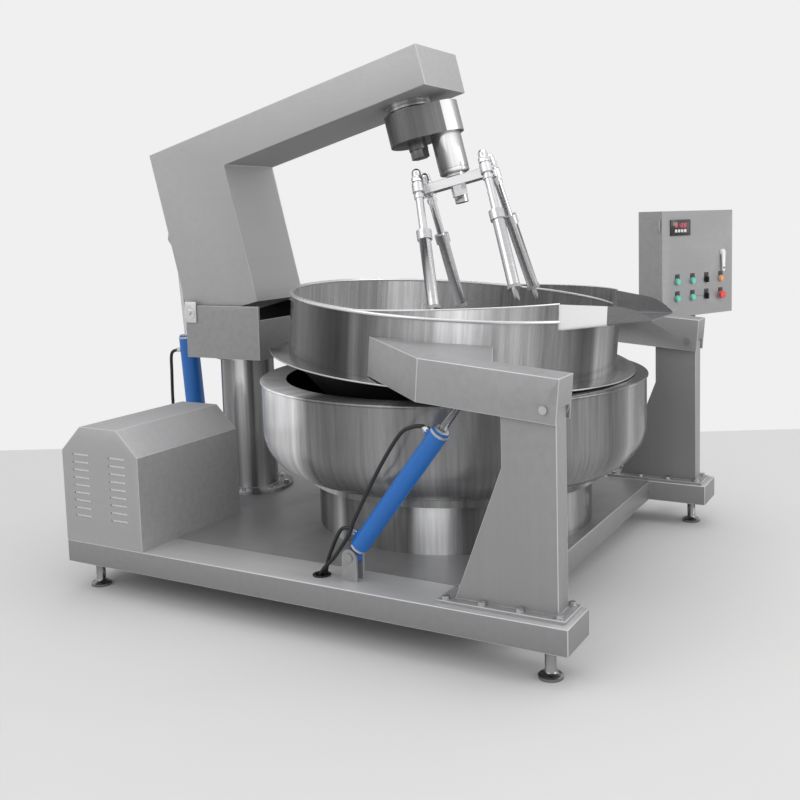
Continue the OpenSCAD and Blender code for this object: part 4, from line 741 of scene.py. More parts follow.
def collarTop(angle):
    # height of the collar's edge: rim, guard that climbs towards the spout, and the cut mouth
    x = (pot["radius"] + 1.5) * math.cos(angle)
    degrees = abs(math.degrees(math.atan2(math.sin(angle), math.cos(angle))))
    if degrees < pot["mouth"] - 1e-6:
        return pot["rim"] - pot["lip"]
    mouthX = pot["radius"] * math.cos(math.radians(pot["mouth"]))
    return pot["rim"] + pot["guard"] * max(0.0, x - pot["guardFrom"]) / (mouthX - pot["guardFrom"])


def makeCollar():
    bm = bmesh.new()
    centre = at(*furnace["centre"], 0)
    edge = math.radians(pot["mouth"])
    angles = [edge + (2 * math.pi - 2 * edge) * k / 220 for k in range(221)]
    mouth = [-edge + 2 * edge * k / 40 for k in range(1, 40)]

    def wall(angleList, tops):
        columns = []
        for a, top in zip(angleList, tops):
            direction = Vector((math.cos(a), math.sin(a), 0)) * 0.001
            heights = [pot["collar"] + (top - pot["collar"]) * t for t in (0, 0.25, 0.5, 0.75, 0.97, 1.0)]
            inner = [bm.verts.new(centre + direction * pot["radius"] + Vector((0, 0, z * 0.001))) for z in heights]
            outer = [bm.verts.new(centre + direction * (pot["radius"] + pot["wall"]) + Vector((0, 0, z * 0.001)))
                for z in heights]
            columns.append(inner + outer[::-1])
        for left, right in zip(columns, columns[1:]):
            for k in range(len(left)):
                n = (k + 1) % len(left)
                bm.faces.new((left[k], right[k], right[n], left[n])).material_index = 1 if k < 6 else 0
        bm.faces.new(columns[0])
        bm.faces.new(columns[-1][::-1])

    wall(angles, [collarTop(a) if 0 < k < 220 else collarTop(edge + 0.0001) for k, a in enumerate(angles)])
    low = pot["rim"] - pot["lip"]
    wall([-edge] + mouth + [edge], [low] * 41)
    return finishPiece("potCollar", bm, [metals["collar"], metals["inner"]], "pot", potPose, 40, ("pot_collar",))


makeCollar()
flangeProfile = rounded([(pot["radius"] + 3.2, pot["collar"] + 5), (pot["radius"] + 3.3, pot["collar"] - 6),
    (pot["flange"], pot["collar"] - 6), (pot["flange"], pot["collar"])], 2.0)
lathePiece("potFlange", flangeProfile, at(*furnace["centre"], 0), metals["turned"], "pot", potPose, 192)


def makeBead():
    # rolled rim, and a thin hem along the climbing guard
    bm = bmesh.new()
    centre = at(*furnace["centre"], 0)
    edge = math.radians(pot["mouth"])
    ringAngles = [edge + (2 * math.pi - 2 * edge) * k / 200 for k in range(201)]
    beadR = pot["radius"] + pot["wall"] + 0.5
    tubeMesh(bm, [centre + Vector((beadR * math.cos(a), beadR * math.sin(a), pot["rim"] - 7)) * 0.001
        for a in ringAngles], 0.007, 14)
    hemR = pot["radius"] + 1.5
    tubeMesh(bm, [centre + Vector((hemR * math.cos(a), hemR * math.sin(a),
        collarTop(a if 0 < k < 200 else edge + 0.0001) - 1)) * 0.001 for k, a in enumerate(ringAngles)], 0.0032, 10)
    return finishPiece("potRimBead", bm, metals["bright"], "pot", potPose, 60, ())


makeBead()

spout = {"reach": 905, "tipHalf": 150, "rise": 12, "wall": 3, "fillet": 16, "flare": 6}


def makeSpout():
    # a folded trough: floor, fillets and wings lofted from the mouth to the tip
    start = pot["radius"] * math.cos(math.radians(pot["mouth"]))
    half = pot["radius"] * math.sin(math.radians(pot["mouth"]))
    floorLow, floorHigh = pot["rim"] - pot["lip"] - 3, pot["rim"] + spout["rise"] - 3
    centre = at(*furnace["centre"], 0)
    bm = bmesh.new()
    rows = []
    count = 26
    for i in range(count + 1):
        s = i / count
        x = start - 14 + (spout["reach"] - start + 14) * s
        t = max(0.0, (x - start) / (spout["reach"] - start))
        w = half + (spout["tipHalf"] - half) * t
        z = floorLow + (floorHigh - floorLow) * t
        full = pot["rim"] + pot["guard"] - 3
        drop = max(0.0, (t - 0.62) / 0.38)
        top = full - (full - (floorHigh + 9)) * drop ** 1.7
        r = spout["fillet"] * (1 - 0.55 * drop)
        section = []
        for side in (-1, 1):
            part = [(w + spout["flare"] * (top - z) / 100, top)]
            part += [(w + spout["flare"] * (z + r + (top - z - r) * q - z) / 100, z + r + (top - z - r) * q)
                for q in (0.75, 0.5, 0.25)]
            part += [(w - r + r * math.cos(a), z + r - r * math.sin(a)) for a in
                (math.pi / 2 * k / 5 for k in range(6))]
            part += [(w * q, z) for q in (0.75, 0.5, 0.25)]
            section.append([(side * y, h) for y, h in part])
        line = section[0] + [(0.0, z)] + section[1][::-1]
        rows.append((x, line))
    skins = []
    for x, line in rows:
        skins.append([bm.verts.new(centre + Vector((x, y, h)) * 0.001) for y, h in line])
    for low, high in zip(skins, skins[1:]):
        for k in range(len(low) - 1):
            bm.faces.new((low[k], low[k + 1], high[k + 1], high[k]))
    bmesh.ops.recalc_face_normals(bm, faces=bm.faces)
    bm.faces.ensure_lookup_table()
    middle = max(bm.faces, key=lambda f: -abs(f.calc_center_median().y - centre.y))
    if middle.normal.z > 0:
        bmesh.ops.reverse_faces(bm, faces=bm.faces)
    bmesh.ops.solidify(bm, geom=bm.faces[:], thickness=0.003)
    # floor and near wing take the painted highlight, far wing and tip the painted shade
    for face in bm.faces:
        middle = face.calc_center_median() - centre
        face.material_index = 1 if middle.y > 0.07 or middle.x > spout["reach"] * 0.001 - 0.15 else 0
    return finishPiece("pourSpout", bm, [metals["spoutPaintedHighlight"], metals["spoutPaintedShade"]], "pot", potPose, 40, ("pour_spout",))


makeSpout()
print("pot and furnace made")

# ---- gooseneck: upright and boom are one folded sheet
gooseneck = {"left": -31, "right": 393, "end": 1495, "front": 834, "back": 1202, "foot": 1040, "under": 1692, "top": 1867,
    "sheet": 8, "edge": 3.0, "inside": 560, "lugPin": (-141, 1018, 1480), "lugFrom": 23.5, "lugThick": 12}


def makeGooseneck():
    g = gooseneck
    bm = bmesh.new()
    outline = [(g["left"], g["foot"]), (g["right"], g["foot"]), (g["right"], g["under"]), (g["end"], g["under"]),
        (g["end"], g["top"]), (g["left"], g["top"])]
    sideOn = Matrix.Translation(at(0, g["back"], 0)) @ Matrix.Rotation(math.radians(90), 4, "X")
    prismMesh(bm, outline, g["back"] - g["front"], sideOn)
    folds = [e for e in bm.edges if e.calc_length() > 0.02]
    bmesh.ops.bevel(bm, geom=folds, offset=g["edge"] * 0.001, offset_type="OFFSET", segments=3, profile=0.5,
        affect="EDGES", clamp_overlap=True, material=1)
    bm.faces.ensure_lookup_table()
    bmesh.ops.recalc_face_normals(bm, faces=bm.faces)
    below = min(bm.faces, key=lambda f: f.calc_center_median().z + (0 if f.calc_area() > 0.05 else 9))
    bmesh.ops.inset_region(bm, faces=[below], thickness=(g["sheet"] - g["edge"]) * 0.001)
    deep = bmesh.ops.extrude_face_region(bm, geom=[below])
    bmesh.ops.delete(bm, geom=[below], context="FACES_ONLY")
    bmesh.ops.translate(bm, verts=[v for v in deep["geom"] if isinstance(v, bmesh.types.BMVert)],
        vec=(0, 0, g["inside"] * 0.001))
    # the rounded folds of the shell take the lighter steel as a painted highlight
    finishPiece("gooseneckShell", bm, [metals["sheet"], metals["paintedFoldHighlight"]], "arm", armPose, 40,
        ("mast_shell", "boom_shell"))
    bm = bmesh.new()
    x, y, z = g["lugPin"]
    plate = [(g["left"] + 1, z + 90), (x - 20, z + 34), (x - 34, z), (x - 20, z - 34), (g["left"] + 1, z - 90)]
    for side in (-1, 1):
        far = y + side * g["lugFrom"] + (g["lugThick"] if side > 0 else 0)
        lay = Matrix.Translation(at(0, far, 0)) @ Matrix.Rotation(math.radians(90), 4, "X")
        prismMesh(bm, plate, g["lugThick"], lay)
        edge = y + side * (g["lugFrom"] + g["lugThick"])
        latheMesh(bm, rounded([(0.01, 0), (22, 0), (22, 10), (0.01, 10)], 1.5), None, 40,
            axis=facing((0, side, 0), at(x, edge - side * 0.5, z)))
    finishPiece("liftLugs", bm, metals["satin"], "arm", armPose, 35, ())


makeGooseneck()

# ---- fork: pin plates outside; the painted shade on its inside faces is given where the nodes are dressed
pinPlate = {"x": (-21, 46), "z": (1032, 1132), "out": 7.5, "front": 806.2, "back": 1222.3}


def makePinPlates():
    bm = bmesh.new()
    p = pinPlate
    for low in (p["front"], p["back"]):
        boxMesh(bm, (*at(p["x"][0], low, p["z"][0]) * 1000,), (*at(p["x"][1], low + p["out"], p["z"][1]) * 1000,), 2.0)
    finishPiece("pinPlates", bm, metals["bright"], "base")


makePinPlates()

# ---- louvres, bolts and welds are repeated by Geometry Nodes
def newTree(name, inputs):
    tree = bpy.data.node_groups.new(name, "GeometryNodeTree")
    tree.interface.new_socket("Geometry", in_out="INPUT", socket_type="NodeSocketGeometry")
    for label, kind, value in inputs:
        tree.interface.new_socket(label, in_out="INPUT", socket_type=kind).default_value = value
    tree.interface.new_socket("Geometry", in_out="OUTPUT", socket_type="NodeSocketGeometry")
    return tree, tree.nodes.new("NodeGroupInput"), tree.nodes.new("NodeGroupOutput")


def geoNode(tree, kind, links=(), **values):
    # links are (input name or number, output socket or plain value)
    node = tree.nodes.new(kind)
    for label, value in values.items():
        setattr(node, label, value)
    for label, value in links:
        if isinstance(value, bpy.types.NodeSocket):
            tree.links.new(value, node.inputs[label])
        else:
            node.inputs[label].default_value = value
    return node


def endTree(tree, end, geometry, material):
    real = geoNode(tree, "GeometryNodeRealizeInstances", [("Geometry", geometry)])
    done = geoNode(tree, "GeometryNodeSetMaterial", [("Geometry", real.outputs[0]), ("Material", material)])
    tree.links.new(done.outputs[0], end.inputs[0])


def growMesh(name, tree, points, edges, values):
    # run the tree on a mesh of bare points or lines and keep the result as a plain mesh
    mesh = bpy.data.meshes.new(name + "Points")
    mesh.from_pydata([tuple(p) for p in points], edges, [])
    seed = bpy.data.objects.new(name + "Points", mesh)
    scene.collection.objects.link(seed)
    modifier = seed.modifiers.new("grow", "NODES")
    modifier.node_group = tree
    for item in tree.interface.items_tree:
        if item.in_out == "INPUT" and item.name in values:
            modifier[item.identifier] = values[item.name]
    grown = bpy.data.meshes.new_from_object(seed.evaluated_get(bpy.context.evaluated_depsgraph_get()))
    grown.name = name
    seed.modifiers.clear()
    bpy.data.objects.remove(seed)
    return grown


def growPiece(name, tree, points, edges, material, body, values, smooth=40.0, replaces=()):
    return addPiece(name, growMesh(name, tree, points, edges, values), material, body, smooth, replaces)


louvre = {"Width": 0.088, "Drop": 0.010, "Bead": 0.0019, "Depth": 0.0014}
louvrePlaces = {"columns": (104, 304), "first": 580, "pitch": 32, "count": 9}


def makeLouvreTree(material):
    # bead along the top of the slot that turns down at its right end, and the pan behind it
    tree, start, end = newTree("louvreGrow", [("Width", "NodeSocketFloat", 0.088), ("Drop", "NodeSocketFloat", 0.009),
        ("Bead", "NodeSocketFloat", 0.0014), ("Depth", "NodeSocketFloat", 0.004)])

    def number(operation, a, b):
        return geoNode(tree, "ShaderNodeMath", [(0, a), (1, b)], operation=operation).outputs[0]

    def vector(x, y, z):
        return geoNode(tree, "ShaderNodeCombineXYZ", [(0, x), (1, y), (2, z)]).outputs[0]

    half = number("MULTIPLY", start.outputs["Width"], 0.5)
    left, bend = number("MULTIPLY", half, -1.0), number("SUBTRACT", half, 0.012)
    low = number("MULTIPLY", start.outputs["Drop"], -1.1)
    line = geoNode(tree, "GeometryNodeCurvePrimitiveLine", [("Start", vector(left, 0.0, 0.0)), ("End", vector(bend, 0.0, 0.0))])
    hook = geoNode(tree, "GeometryNodeCurveQuadraticBezier", [("Resolution", 7), ("Start", vector(bend, 0.0, 0.0)),
        ("Middle", vector(half, 0.0, -0.001)), ("End", vector(half, 0.0, low))])
    lines = geoNode(tree, "GeometryNodeJoinGeometry")
    tree.links.new(line.outputs[0], lines.inputs[0])
    tree.links.new(hook.outputs[0], lines.inputs[0])
    ring = geoNode(tree, "GeometryNodeCurvePrimitiveCircle", [("Resolution", 8), ("Radius", start.outputs["Bead"])])
    bead = geoNode(tree, "GeometryNodeCurveToMesh", [("Curve", lines.outputs[0]), ("Profile Curve", ring.outputs[0]),
        ("Fill Caps", True)])
    pan = geoNode(tree, "GeometryNodeMeshCube", [("Size", vector(start.outputs["Width"], 0.001, start.outputs["Drop"]))])
    moved = geoNode(tree, "GeometryNodeTransform", [("Geometry", pan.outputs[0]),
        ("Translation", vector(0.0, start.outputs["Depth"], number("MULTIPLY", start.outputs["Drop"], -0.5)))])
    both = geoNode(tree, "GeometryNodeJoinGeometry")
    tree.links.new(bead.outputs[0], both.inputs[0])
    tree.links.new(moved.outputs[0], both.inputs[0])
    spots = geoNode(tree, "GeometryNodeInstanceOnPoints", [("Points", start.outputs[0]), ("Instance", both.outputs[0])])
    endTree(tree, end, spots.outputs[0], material)
    return tree


# the louvres are pressed from the cover's sheet but take the bright steel, a painted highlight on their beads and pans
spots = [at(x, 1.9, louvrePlaces["first"] - k * louvrePlaces["pitch"]) for x in louvrePlaces["columns"]
    for k in range(louvrePlaces["count"])]
growPiece("coverLouvres", makeLouvreTree(metals["bright"]), spots, [], metals["bright"], "base", louvre)

boltSizes = {"Head": 0.0135, "Rise": 0.009, "Washer": 0.0165, "WasherRise": 0.0025, "Seed": 4}


def makeBoltTree(material):
    tree, start, end = newTree("boltGrow", [("Head", "NodeSocketFloat", 0.0135), ("Rise", "NodeSocketFloat", 0.009),
        ("Washer", "NodeSocketFloat", 0.0165), ("WasherRise", "NodeSocketFloat", 0.0025), ("Seed", "NodeSocketInt", 4)])

    def raised(mesh, height):
        lift = geoNode(tree, "ShaderNodeCombineXYZ", [(2, height)]).outputs[0]
        return geoNode(tree, "GeometryNodeTransform", [("Geometry", mesh), ("Translation", lift)]).outputs[0]

    def half(value):
        return geoNode(tree, "ShaderNodeMath", [(0, value), (1, 0.5)], operation="MULTIPLY").outputs[0]

    washer = geoNode(tree, "GeometryNodeMeshCylinder", [("Vertices", 24), ("Radius", start.outputs["Washer"]),
        ("Depth", start.outputs["WasherRise"])])
    head = geoNode(tree, "GeometryNodeMeshCylinder", [("Vertices", 6), ("Radius", start.outputs["Head"]),
        ("Depth", start.outputs["Rise"])])
    crown = geoNode(tree, "GeometryNodeMeshCone", [("Vertices", 24), ("Radius Top", 0.0075), ("Radius Bottom", 0.0115),
        ("Depth", 0.0012)])
    headRise = geoNode(tree, "ShaderNodeMath", [(0, half(start.outputs["Rise"])), (1, start.outputs["WasherRise"])],
        operation="ADD").outputs[0]
    top = geoNode(tree, "ShaderNodeMath", [(0, start.outputs["Rise"]), (1, start.outputs["WasherRise"])],
        operation="ADD").outputs[0]
    whole = geoNode(tree, "GeometryNodeJoinGeometry")
    for part in (raised(washer.outputs[0], half(start.outputs["WasherRise"])), raised(head.outputs[0], headRise),
            raised(crown.outputs[0], top)):
        tree.links.new(part, whole.inputs[0])
    turn = geoNode(tree, "FunctionNodeRandomValue", [("Seed", start.outputs["Seed"])], data_type="FLOAT")
    turn.inputs[2].default_value, turn.inputs[3].default_value = 0.0, 1.05
    spin = geoNode(tree, "ShaderNodeCombineXYZ", [(2, turn.outputs[1])])
    spots = geoNode(tree, "GeometryNodeInstanceOnPoints", [("Points", start.outputs[0]), ("Instance", whole.outputs[0]),
        ("Rotation", spin.outputs[0])])
    endTree(tree, end, spots.outputs[0], material)
    return tree


boltPlaces = {"plateX": (1748, 1882.67, 2017.33, 2152), "plateY": (48, 172), "depth": 2036, "deck": 207, "plate": 12,
    "flangeRadius": 172, "flange": 15, "column": (172, 1018)}


def boltSpots():
    b = boltPlaces
    spots = [at(x, y, b["deck"] + b["plate"]) for x in b["plateX"] for near in b["plateY"] for y in (near, b["depth"] - near)]
    spots += [at(b["column"][0] + b["flangeRadius"] * math.cos(a), b["column"][1] + b["flangeRadius"] * math.sin(a),
        b["deck"] + b["flange"]) for a in (math.radians(45 * k + 22.5) for k in range(8))]
    return spots


growPiece("anchorBoltHeads", makeBoltTree(metals["zinc"]), boltSpots(), [], metals["zinc"], "base", boltSizes,
    replaces=("anchor_bolts",))

weldSizes = {"Step": 0.0042, "Size": 0.0030}


def makeWeldTree(material):
    # overlapping drops along a line, as a hand weld leaves them
    tree, start, end = newTree("weldGrow", [("Step", "NodeSocketFloat", 0.007), ("Size", "NodeSocketFloat", 0.005),
        ("Seed", "NodeSocketInt", 7)])
    curve = geoNode(tree, "GeometryNodeMeshToCurve", [("Mesh", start.outputs[0])])
    dots = geoNode(tree, "GeometryNodeCurveToPoints", [("Curve", curve.outputs[0]), ("Length", start.outputs["Step"])],
        mode="LENGTH")
    drop = geoNode(tree, "GeometryNodeMeshIcoSphere", [("Radius", start.outputs["Size"]), ("Subdivisions", 2)])
    vary = geoNode(tree, "FunctionNodeRandomValue", [("Seed", start.outputs["Seed"])], data_type="FLOAT")
    vary.inputs[2].default_value, vary.inputs[3].default_value = 0.8, 1.2
    spots = geoNode(tree, "GeometryNodeInstanceOnPoints", [("Points", dots.outputs[0]), ("Instance", drop.outputs[0]),
        ("Scale", vary.outputs[1])])
    endTree(tree, end, spots.outputs[0], material)
    return tree


weldTree = makeWeldTree(metals["weld"])


def makeWelds():
    # round the feet of the posts, the flange of the column, and where the arms meet the collar
    lines = []
    for y0, y1 in ((65, 155), (1881, 1971)):
        z = 219.5
        lines += [(at(1777, y, z), at(2145, y, z)) for y in (y0, y1)] + [(at(x, y0, z), at(x, y1, z)) for x in (1777, 2145)]
    ring = [at(172 + 129.5 * math.cos(a), 1018 + 129.5 * math.sin(a), 223) for a in
        (math.pi * k / 24 for k in range(49))]
    lines += list(zip(ring, ring[1:]))
    points = [p for line in lines for p in line]
    growPiece("baseWelds", weldTree, points, [(k, k + 1) for k in range(0, len(points), 2)], metals["weld"], "base",
        weldSizes)
    points = []
    for side in (-1, 1):
        for z in (846, 994):
            points += [potPose @ at(1300 + 704 * math.sin(a), 1018 + side * 704 * math.cos(a), z) for a in
                (math.radians(4 + 3 * k) for k in range(10))]
    edges = [(k, k + 1) for k in range(len(points)) if k % 10 != 9]
    growPiece("potWelds", weldTree, points, edges, metals["weld"], "pot", weldSizes)


makeWelds()
print("louvres, bolts and welds grown")

# ---- mixing head
head = {"centre": (1300, 1018), "ring": (97, 1652, 1692), "bore": 41, "housing": (115, 82, 128, 18, 1517, 1649),
    "spindle": (65, 1345), "shaft": 29.2}
mixPose = armPose @ Matrix.Translation(at(1300, 1018, 0)) @ Matrix.Rotation(math.radians(18), 4, "Z")


def makeHead():
    r, low, high = head["ring"]
    profile = rounded([(head["bore"], low), (r - 7, low), (r - 7, low + 5), (r, low + 9), (r, low + 22), (r - 3.5, low + 24),
        (r - 3.5, low + 27), (r, low + 29), (r, high), (head["bore"], high)], 1.5)
    lathePiece("headRing", profile, at(*head["centre"], 0), metals["ring"], "arm", armPose, 128, replaces=("head_ring",),
        smooth=28)
    r1, r2, apart, _, low, high = head["housing"]
    lean = math.acos((r1 - r2) / apart)
    outline = [(r1 * math.cos(a), r1 * math.sin(a)) for a in (lean + (2 * math.pi - 2 * lean) * k / 90 for k in range(91))]
    outline += [(apart + r2 * math.cos(a), r2 * math.sin(a)) for a in (-lean + 2 * lean * k / 60 for k in range(61))]
    bm = bmesh.new()
    prismMesh(bm, outline, high - low, Matrix.Translation((0, 0, low * 0.001)))
    bm.edges.ensure_lookup_table()
    rims = [e for e in bm.edges if abs(e.verts[0].co.z - e.verts[1].co.z) < 1e-6]
    bmesh.ops.bevel(bm, geom=rims, offset=0.003, offset_type="OFFSET", segments=3, profile=0.5, affect="EDGES")
    # the narrow end of the housing takes the spindle's painted reflection bands
    for f in bm.faces:
        if f.calc_center_median().x > apart * 0.00078:
            f.material_index = 1
    sr, sz = head["spindle"]
    spindle = rounded([(head["shaft"], sz), (sr - 4, sz), (sr, sz + 4), (sr, sz + 14), (sr - 1.6, sz + 15.5),
        (sr - 1.6, sz + 18), (sr, sz + 19.5), (sr, low + 1), (head["shaft"], low + 1)], 0.8, 2)
    latheMesh(bm, spindle, Vector((apart * 0.001, 0, 0)), 96, slots=[1] * len(spindle))
    for profile, sides in ((rounded([(0.01, low - 34), (42, low - 34), (42, low + 1), (0.01, low + 1)], 2.0), 64),
            (rounded([(0.01, low - 70), (40, low - 70), (40, low - 33), (0.01, low - 33)], 1.2), 6),
            ([(0.01, high - 1), (60, high - 1), (60, high + 2), (40, high + 2), (40, high + 46), (0.01, high + 46)], 64)):
        latheMesh(bm, profile, Vector((0, 0, 0)), sides)
    finishPiece("planetHousing", bm, [metals["housing"], metals["spindle"]], nodes["planet_housing"]["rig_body"], mixPose,
        28, ("planet_housing",))


makeHead()

# ---- hydraulic cylinders: end rings, port elbows and hoses
cylinders = {
    "front": dict(foot=(1345, 105, 295), tip=(1807.03, 105, 899.04), radius=34, start=42, length=606, rod=14,
        ports=((576, 20), (76, 18)), hose=7, grommet=(1215, 91)),
    "rear": dict(foot=(-150, 1018, 300), tip=(-234.23, 1018, 1432.51), radius=47, start=50, length=637, rod=17,
        ports=((571, 30), (84, 16)), hose=8, grommet=(-240, 1014)),
}


def cylinderFrame(c):
    foot = at(*c["foot"])
    return foot, (at(*c["tip"]) - foot).normalized()


def beside(c, s, d, y):
    foot, along = cylinderFrame(c)
    return foot + along * s * 0.001 + Vector((-along.z, 0, along.x)) * d * 0.001 + Vector((0, y * 0.001, 0))


def hoseRoute(c, key, number):
    s, out = c["ports"][number]
    route = [beside(c, s, c["radius"] + 9.3 + d, 0) for d in (0, out / 2, out)]
    if key == "front":
        passes = (((550, 90, -7), (506, 108, -17), (388, 102, -23), (250, 84, -25), (122, 64, -25), (66, 50, -26),
            (-38, 46, -26)), ((52, 89, -3), (9, 89, -3), (-30, 81, -4)))[number]
        route += [beside(c, *p) for p in passes]
        route += [at(*p) for p in (((1228, 80, 232), (1207, 81, 190)), ((1238, 101, 262), (1222, 101, 190)))[number]]
    else:
        route += [at(*p) for p in (((-316, 1018, 840), (-321.4, 1018, 740), (-324.3, 1018, 600), (-317.6, 1018, 460),
            (-286, 1008, 340), (-250, 1002, 262), (-240, 1001, 190)),
            ((-250, 1022, 346), (-252, 1026, 300), (-242, 1028, 190)))[number]]
    return route


def makeCylinder(key):
    c = cylinders[key]
    body = key + "_cylinder"
    foot, along = cylinderFrame(c)
    axis = facing(along, foot)
    r, top = c["radius"], c["length"]
    bm = bmesh.new()
    for profile in ([(c["rod"] + 0.6, top + 7), (r - 6, top + 7), (r - 6, top + 12), (c["rod"] + 0.6, top + 12)],
            [(r - 2, top - 9), (r + 0.9, top - 9), (r + 0.9, top + 0.8), (r - 2, top + 0.8)],
            [(r - 2, c["start"] - 0.8), (r + 0.9, c["start"] - 0.8), (r + 0.9, c["start"] + 8), (r - 2, c["start"] + 8)]):
        latheMesh(bm, rounded(profile, 0.8), None, 72, axis=axis)
    finishPiece(key + "EndRings", bm, metals["zinc"], body)
    bm = bmesh.new()
    for number, (s, _) in enumerate(c["ports"]):
        # hexagon union on the port, elbow block and crimped sleeve of the hose
        outward = beside(c, s, 1, 0) - beside(c, s, 0, 0)
        latheMesh(bm, [(0.01, r + 4), (14, r + 4), (14, r + 15), (10.5, r + 17), (10.5, r + 21), (0.01, r + 21)], None, 6,
            axis=facing(outward, beside(c, s, 0, 0)))
        route = splinePoints(hoseRoute(c, key, number), 8)
        sleeve = route[2:2 + (11 if number == 0 else 9)]
        tubeMesh(bm, sleeve, (c["hose"] + 2.6) * 0.001, 20)
        tubeMesh(bm, sleeve[-2:], (c["hose"] + 3.6) * 0.001, 20)
    finishPiece(key + "PortFittings", bm, metals["fitting"], body)
    for number in (0, 1):
        bm = bmesh.new()
        route = splinePoints(hoseRoute(c, key, number), 10)
        tubeMesh(bm, route, c["hose"] * 0.001, 20)
        name = f"{key}Hose{number + 1}"
        piece = finishPiece(name, bm, hoseRubber, None, smooth=50,
            replaces=(key + "_hoses",) if number == 0 else ())
        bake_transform(piece)
    gx, gy = c["grommet"]
    profile = rounded([(24, 203), (31.7, 203), (31.7, 207), (34.5, 207.4), (34.5, 211), (24, 211)], 1.2)
    lathePiece(key + "Grommet", profile, at(gx, gy, 0), sealRubber, "base", segments=64)


for key in cylinders:
    makeCylinder(key)
print("head and cylinders made")

# ---- control cabinet: plates, meter face, lever, hinges and gland
panel = {"face": 60, "buttonY": (-2, 114, 224, 338), "buttonZ": (176.9, 92.9), "plate": (34, 30), "rise": 14}


def inCabinet(x, y, z):
    return Vector((x, y, z)) * 0.001


def cabinetBox(bm, low, high, bevel=0.0):
    boxMesh(bm, low, high, bevel, cabinetPose)


def makePanel():
    p = panel
    bm = bmesh.new()
    for z in p["buttonZ"]:
        for y in p["buttonY"]:
            w, h = p["plate"]
            cabinetBox(bm, (p["face"], y - w / 2 + 4, z + p["rise"] - 8), (p["face"] + 1.2, y + w / 2 + 4, z + p["rise"] + h - 8), 0.3)
    finishPiece("buttonPlates", bm, blackPlastic, "door")
    bm = bmesh.new()
    front = meterFront()
    cabinetBox(bm, (front, -38, 416), (front + 0.8, 82, 470), 0.2)
    finishPiece("meterWindow", bm, darkGlass, "door")
    bm = bmesh.new()
    segments = {"a": (0, 1), "b": (1, 0.5), "c": (1, -0.5), "d": (0, -1), "e": (-1, -0.5), "f": (-1, 0.5), "g": (0, 0)}
    for k, shape in enumerate(("abcdef", "bc", "abged", "abcdefg")):
        y = -14 + k * 22
        for letter in shape:
            sx, sz = segments[letter]
            flat = letter in "adg"
            cy, cz = y + sx * 6, 455 + sz * (8 if flat else 8)
            hw, hh = (5, 1.6) if flat else (1.6, 3.2)
            cabinetBox(bm, (front + 0.8, cy - hw, cz - hh), (front + 1.3, cy + hw, cz + hh))
    finishPiece("meterDigits", bm, redGlow, "door")
    bm = bmesh.new()
    for k in range(4):
        y = -16 + k * 23
        cabinetBox(bm, (front + 0.8, y - 8.5, 420), (front + 1.6, y + 8.5, 434), 0.3)
    finishPiece("meterKeys", bm, keyPlastic, "door")


def meterFront():
    corners = nodes["panel_meter"].data.vertices
    inverse = cabinetPose.inverted()
    return max((inverse @ v.co).x for v in corners) * 1000


makePanel()


def makeCabinetFittings():
    bm = bmesh.new()
    low, high = handleBox()
    lathe = facing(cabinetPose.to_3x3() @ Vector((1, 0, 0)), cabinetPose @ inCabinet(high[0] - 0.5, (low[1] + high[1]) / 2,
        low[2] + 17))
    latheMesh(bm, [(0.01, 0), (6, 0), (6, 0.9), (0.01, 0.9)], None, 32, axis=lathe)
    finishPiece("leverKeyhole", bm, blackPlastic, "door")
    bm = bmesh.new()
    for z in (70, 455):
        latheMesh(bm, rounded([(0.01, -28), (6.5, -28), (6.5, 28), (0.01, 28)], 1.0), None, 28,
            axis=cabinetPose @ Matrix.Translation(inCabinet(57 - 14, -110 - 5, z)))
    finishPiece("cabinetHinges", bm, metals["satin"], "cabinet")
    bm = bmesh.new()
    for y in (150, 200):
        latheMesh(bm, rounded([(0.01, -26), (11, -26), (11, -20), (15, -18), (15, -8), (17, -8), (17, 0.5), (0.01, 0.5)], 0.8),
            None, 32, axis=cabinetPose @ Matrix.Translation(inCabinet(-5, y, 0)))
    finishPiece("cableGlands", bm, blackPlastic, "cabinet")


def handleBox():
    inverse = cabinetPose.inverted()
    spots = [inverse @ v.co * 1000 for v in nodes["door_handle"].data.vertices]
    return [min(p[k] for p in spots) for k in range(3)], [max(p[k] for p in spots) for k in range(3)]


makeCabinetFittings()
print("cabinet fitted")

# ---- studio: pale floor, plain backdrop tone and soft lights
studio = {"floorTone": 0.64, "backTone": 0.87, "edge": 6.75, "wide": 14.0, "deep": 16.0}


def makeStudio():
    eye = Vector((cameraLook["place"].x, cameraLook["place"].y, 0))
    ahead = Vector((cameraForward.x, cameraForward.y, 0)).normalized()
    far = eye + ahead * studio["edge"]
    corners = [far - cameraRight * studio["wide"], far + cameraRight * studio["wide"],
        far + cameraRight * studio["wide"] - ahead * studio["deep"], far - cameraRight * studio["wide"] - ahead * studio["deep"]]
    mesh = bpy.data.meshes.new("studioFloor")
    mesh.from_pydata([tuple(c) for c in corners], [], [(3, 2, 1, 0)])
    floor = bpy.data.objects.new("studioFloor", mesh)
    scene.collection.objects.link(floor)
    material, tree, shader, coord = newMaterial("paleFloor")
    tone = rangeNode(tree, noiseNode(tree, coord, 1.5, 2.0), 0.3, 0.7, 0.0, 1.0)
    t = studio["floorTone"]
    tree.links.new(mixColour(tree, tone, (t, t, t * 0.99), (t * 1.01, t * 1.01, t)), shader.inputs["Base Color"])
    shader.inputs["Roughness"].default_value = 0.9
    shader.inputs["Specular IOR Level"].default_value = 0.1
    mesh.materials.append(material)


makeStudio()


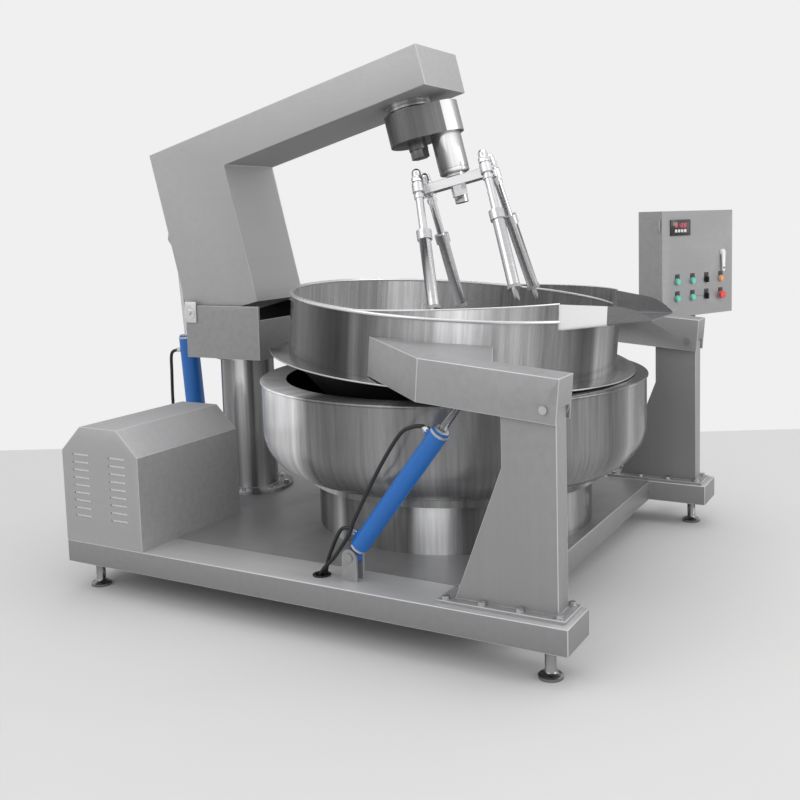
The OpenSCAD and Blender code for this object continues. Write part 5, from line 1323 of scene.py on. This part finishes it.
def makeWorld():
    world = bpy.data.worlds.new("studioWorld")
    scene.world = world
    world.use_nodes = True
    tree = world.node_tree
    tree.nodes.clear()
    out = tree.nodes.new("ShaderNodeOutputWorld")
    shown = tree.nodes.new("ShaderNodeBackground")
    shown.inputs["Color"].default_value = (studio["backTone"],) * 3 + (1,)
    around = tree.nodes.new("ShaderNodeBackground")
    mix = tree.nodes.new("ShaderNodeMixShader")
    path = tree.nodes.new("ShaderNodeLightPath")
    tree.links.new(path.outputs["Is Camera Ray"], mix.inputs[0])
    tree.links.new(around.outputs[0], mix.inputs[1])
    tree.links.new(shown.outputs[0], mix.inputs[2])
    tree.links.new(mix.outputs[0], out.inputs["Surface"])
    split = tree.nodes.new("ShaderNodeSeparateXYZ")
    tree.links.new(tree.nodes.new("ShaderNodeTexCoord").outputs["Generated"], split.inputs[0])
    turn = mathNode(tree, "ARCTAN2", split.outputs["Y"], split.outputs["X"])
    round_ = rangeNode(tree, turn, -math.pi, math.pi, 0.0, 1.0)
    ramp = tree.nodes.new("ShaderNodeValToRGB")
    tree.links.new(round_, ramp.inputs[0])
    bands = ((0.0, 0.95), (0.06, 0.80), (0.12, 1.0), (0.19, 0.72), (0.24, 1.0), (0.33, 0.92), (0.37, 0.78), (0.42, 1.0),
        (0.50, 0.80), (0.58, 1.0), (0.68, 0.95), (0.745, 0.60), (0.775, 0.14), (0.90, 0.14), (0.93, 0.7), (1.0, 0.95))
    ramp.color_ramp.elements[0].color = (bands[0][1],) * 3 + (1,)
    ramp.color_ramp.elements[1].color = (bands[-1][1],) * 3 + (1,)
    for place, tone in bands[1:-1]:
        ramp.color_ramp.elements.new(place).color = (tone,) * 3 + (1,)
    sky = rangeNode(tree, split.outputs["Z"], 0.15, 0.75, 0.0, 1.0)
    low = rangeNode(tree, split.outputs["Z"], -0.5, 0.05, 0.45, 1.0)
    dome = mixColour(tree, sky, ramp.outputs[0], (0.95, 0.95, 0.96))
    shade = tree.nodes.new("ShaderNodeMix")
    shade.data_type = "RGBA"
    shade.blend_type = "MULTIPLY"
    shade.inputs["Factor"].default_value = 1.0
    tree.links.new(dome, shade.inputs[6])
    tree.links.new(low, shade.inputs[7])
    tree.links.new(shade.outputs[2], around.inputs["Color"])
    around.inputs["Strength"].default_value = 0.98


makeWorld()


def softLight(name, place, target, size, power):
    data = bpy.data.lights.new(name, "AREA")
    data.shape = "RECTANGLE"
    data.size, data.size_y = size
    data.energy = power
    light = bpy.data.objects.new(name, data)
    light.matrix_world = facing(Vector(place) - Vector(target), Vector(place))
    scene.collection.objects.link(light)


softLight("keyLight", (-1.5, -5.5, 4.5), (0, 0, 0.8), (5.0, 3.0), 60)
softLight("fillLight", (5.5, 0.5, 3.0), (0, 0, 0.8), (3.5, 2.5), 70)
softLight("topLight", (0.3, 0.2, 5.0), (0, 0, 0.8), (5.0, 5.0), 60)
scene.view_settings.view_transform = "Standard"
scene.view_settings.look = "None"
print("studio made")
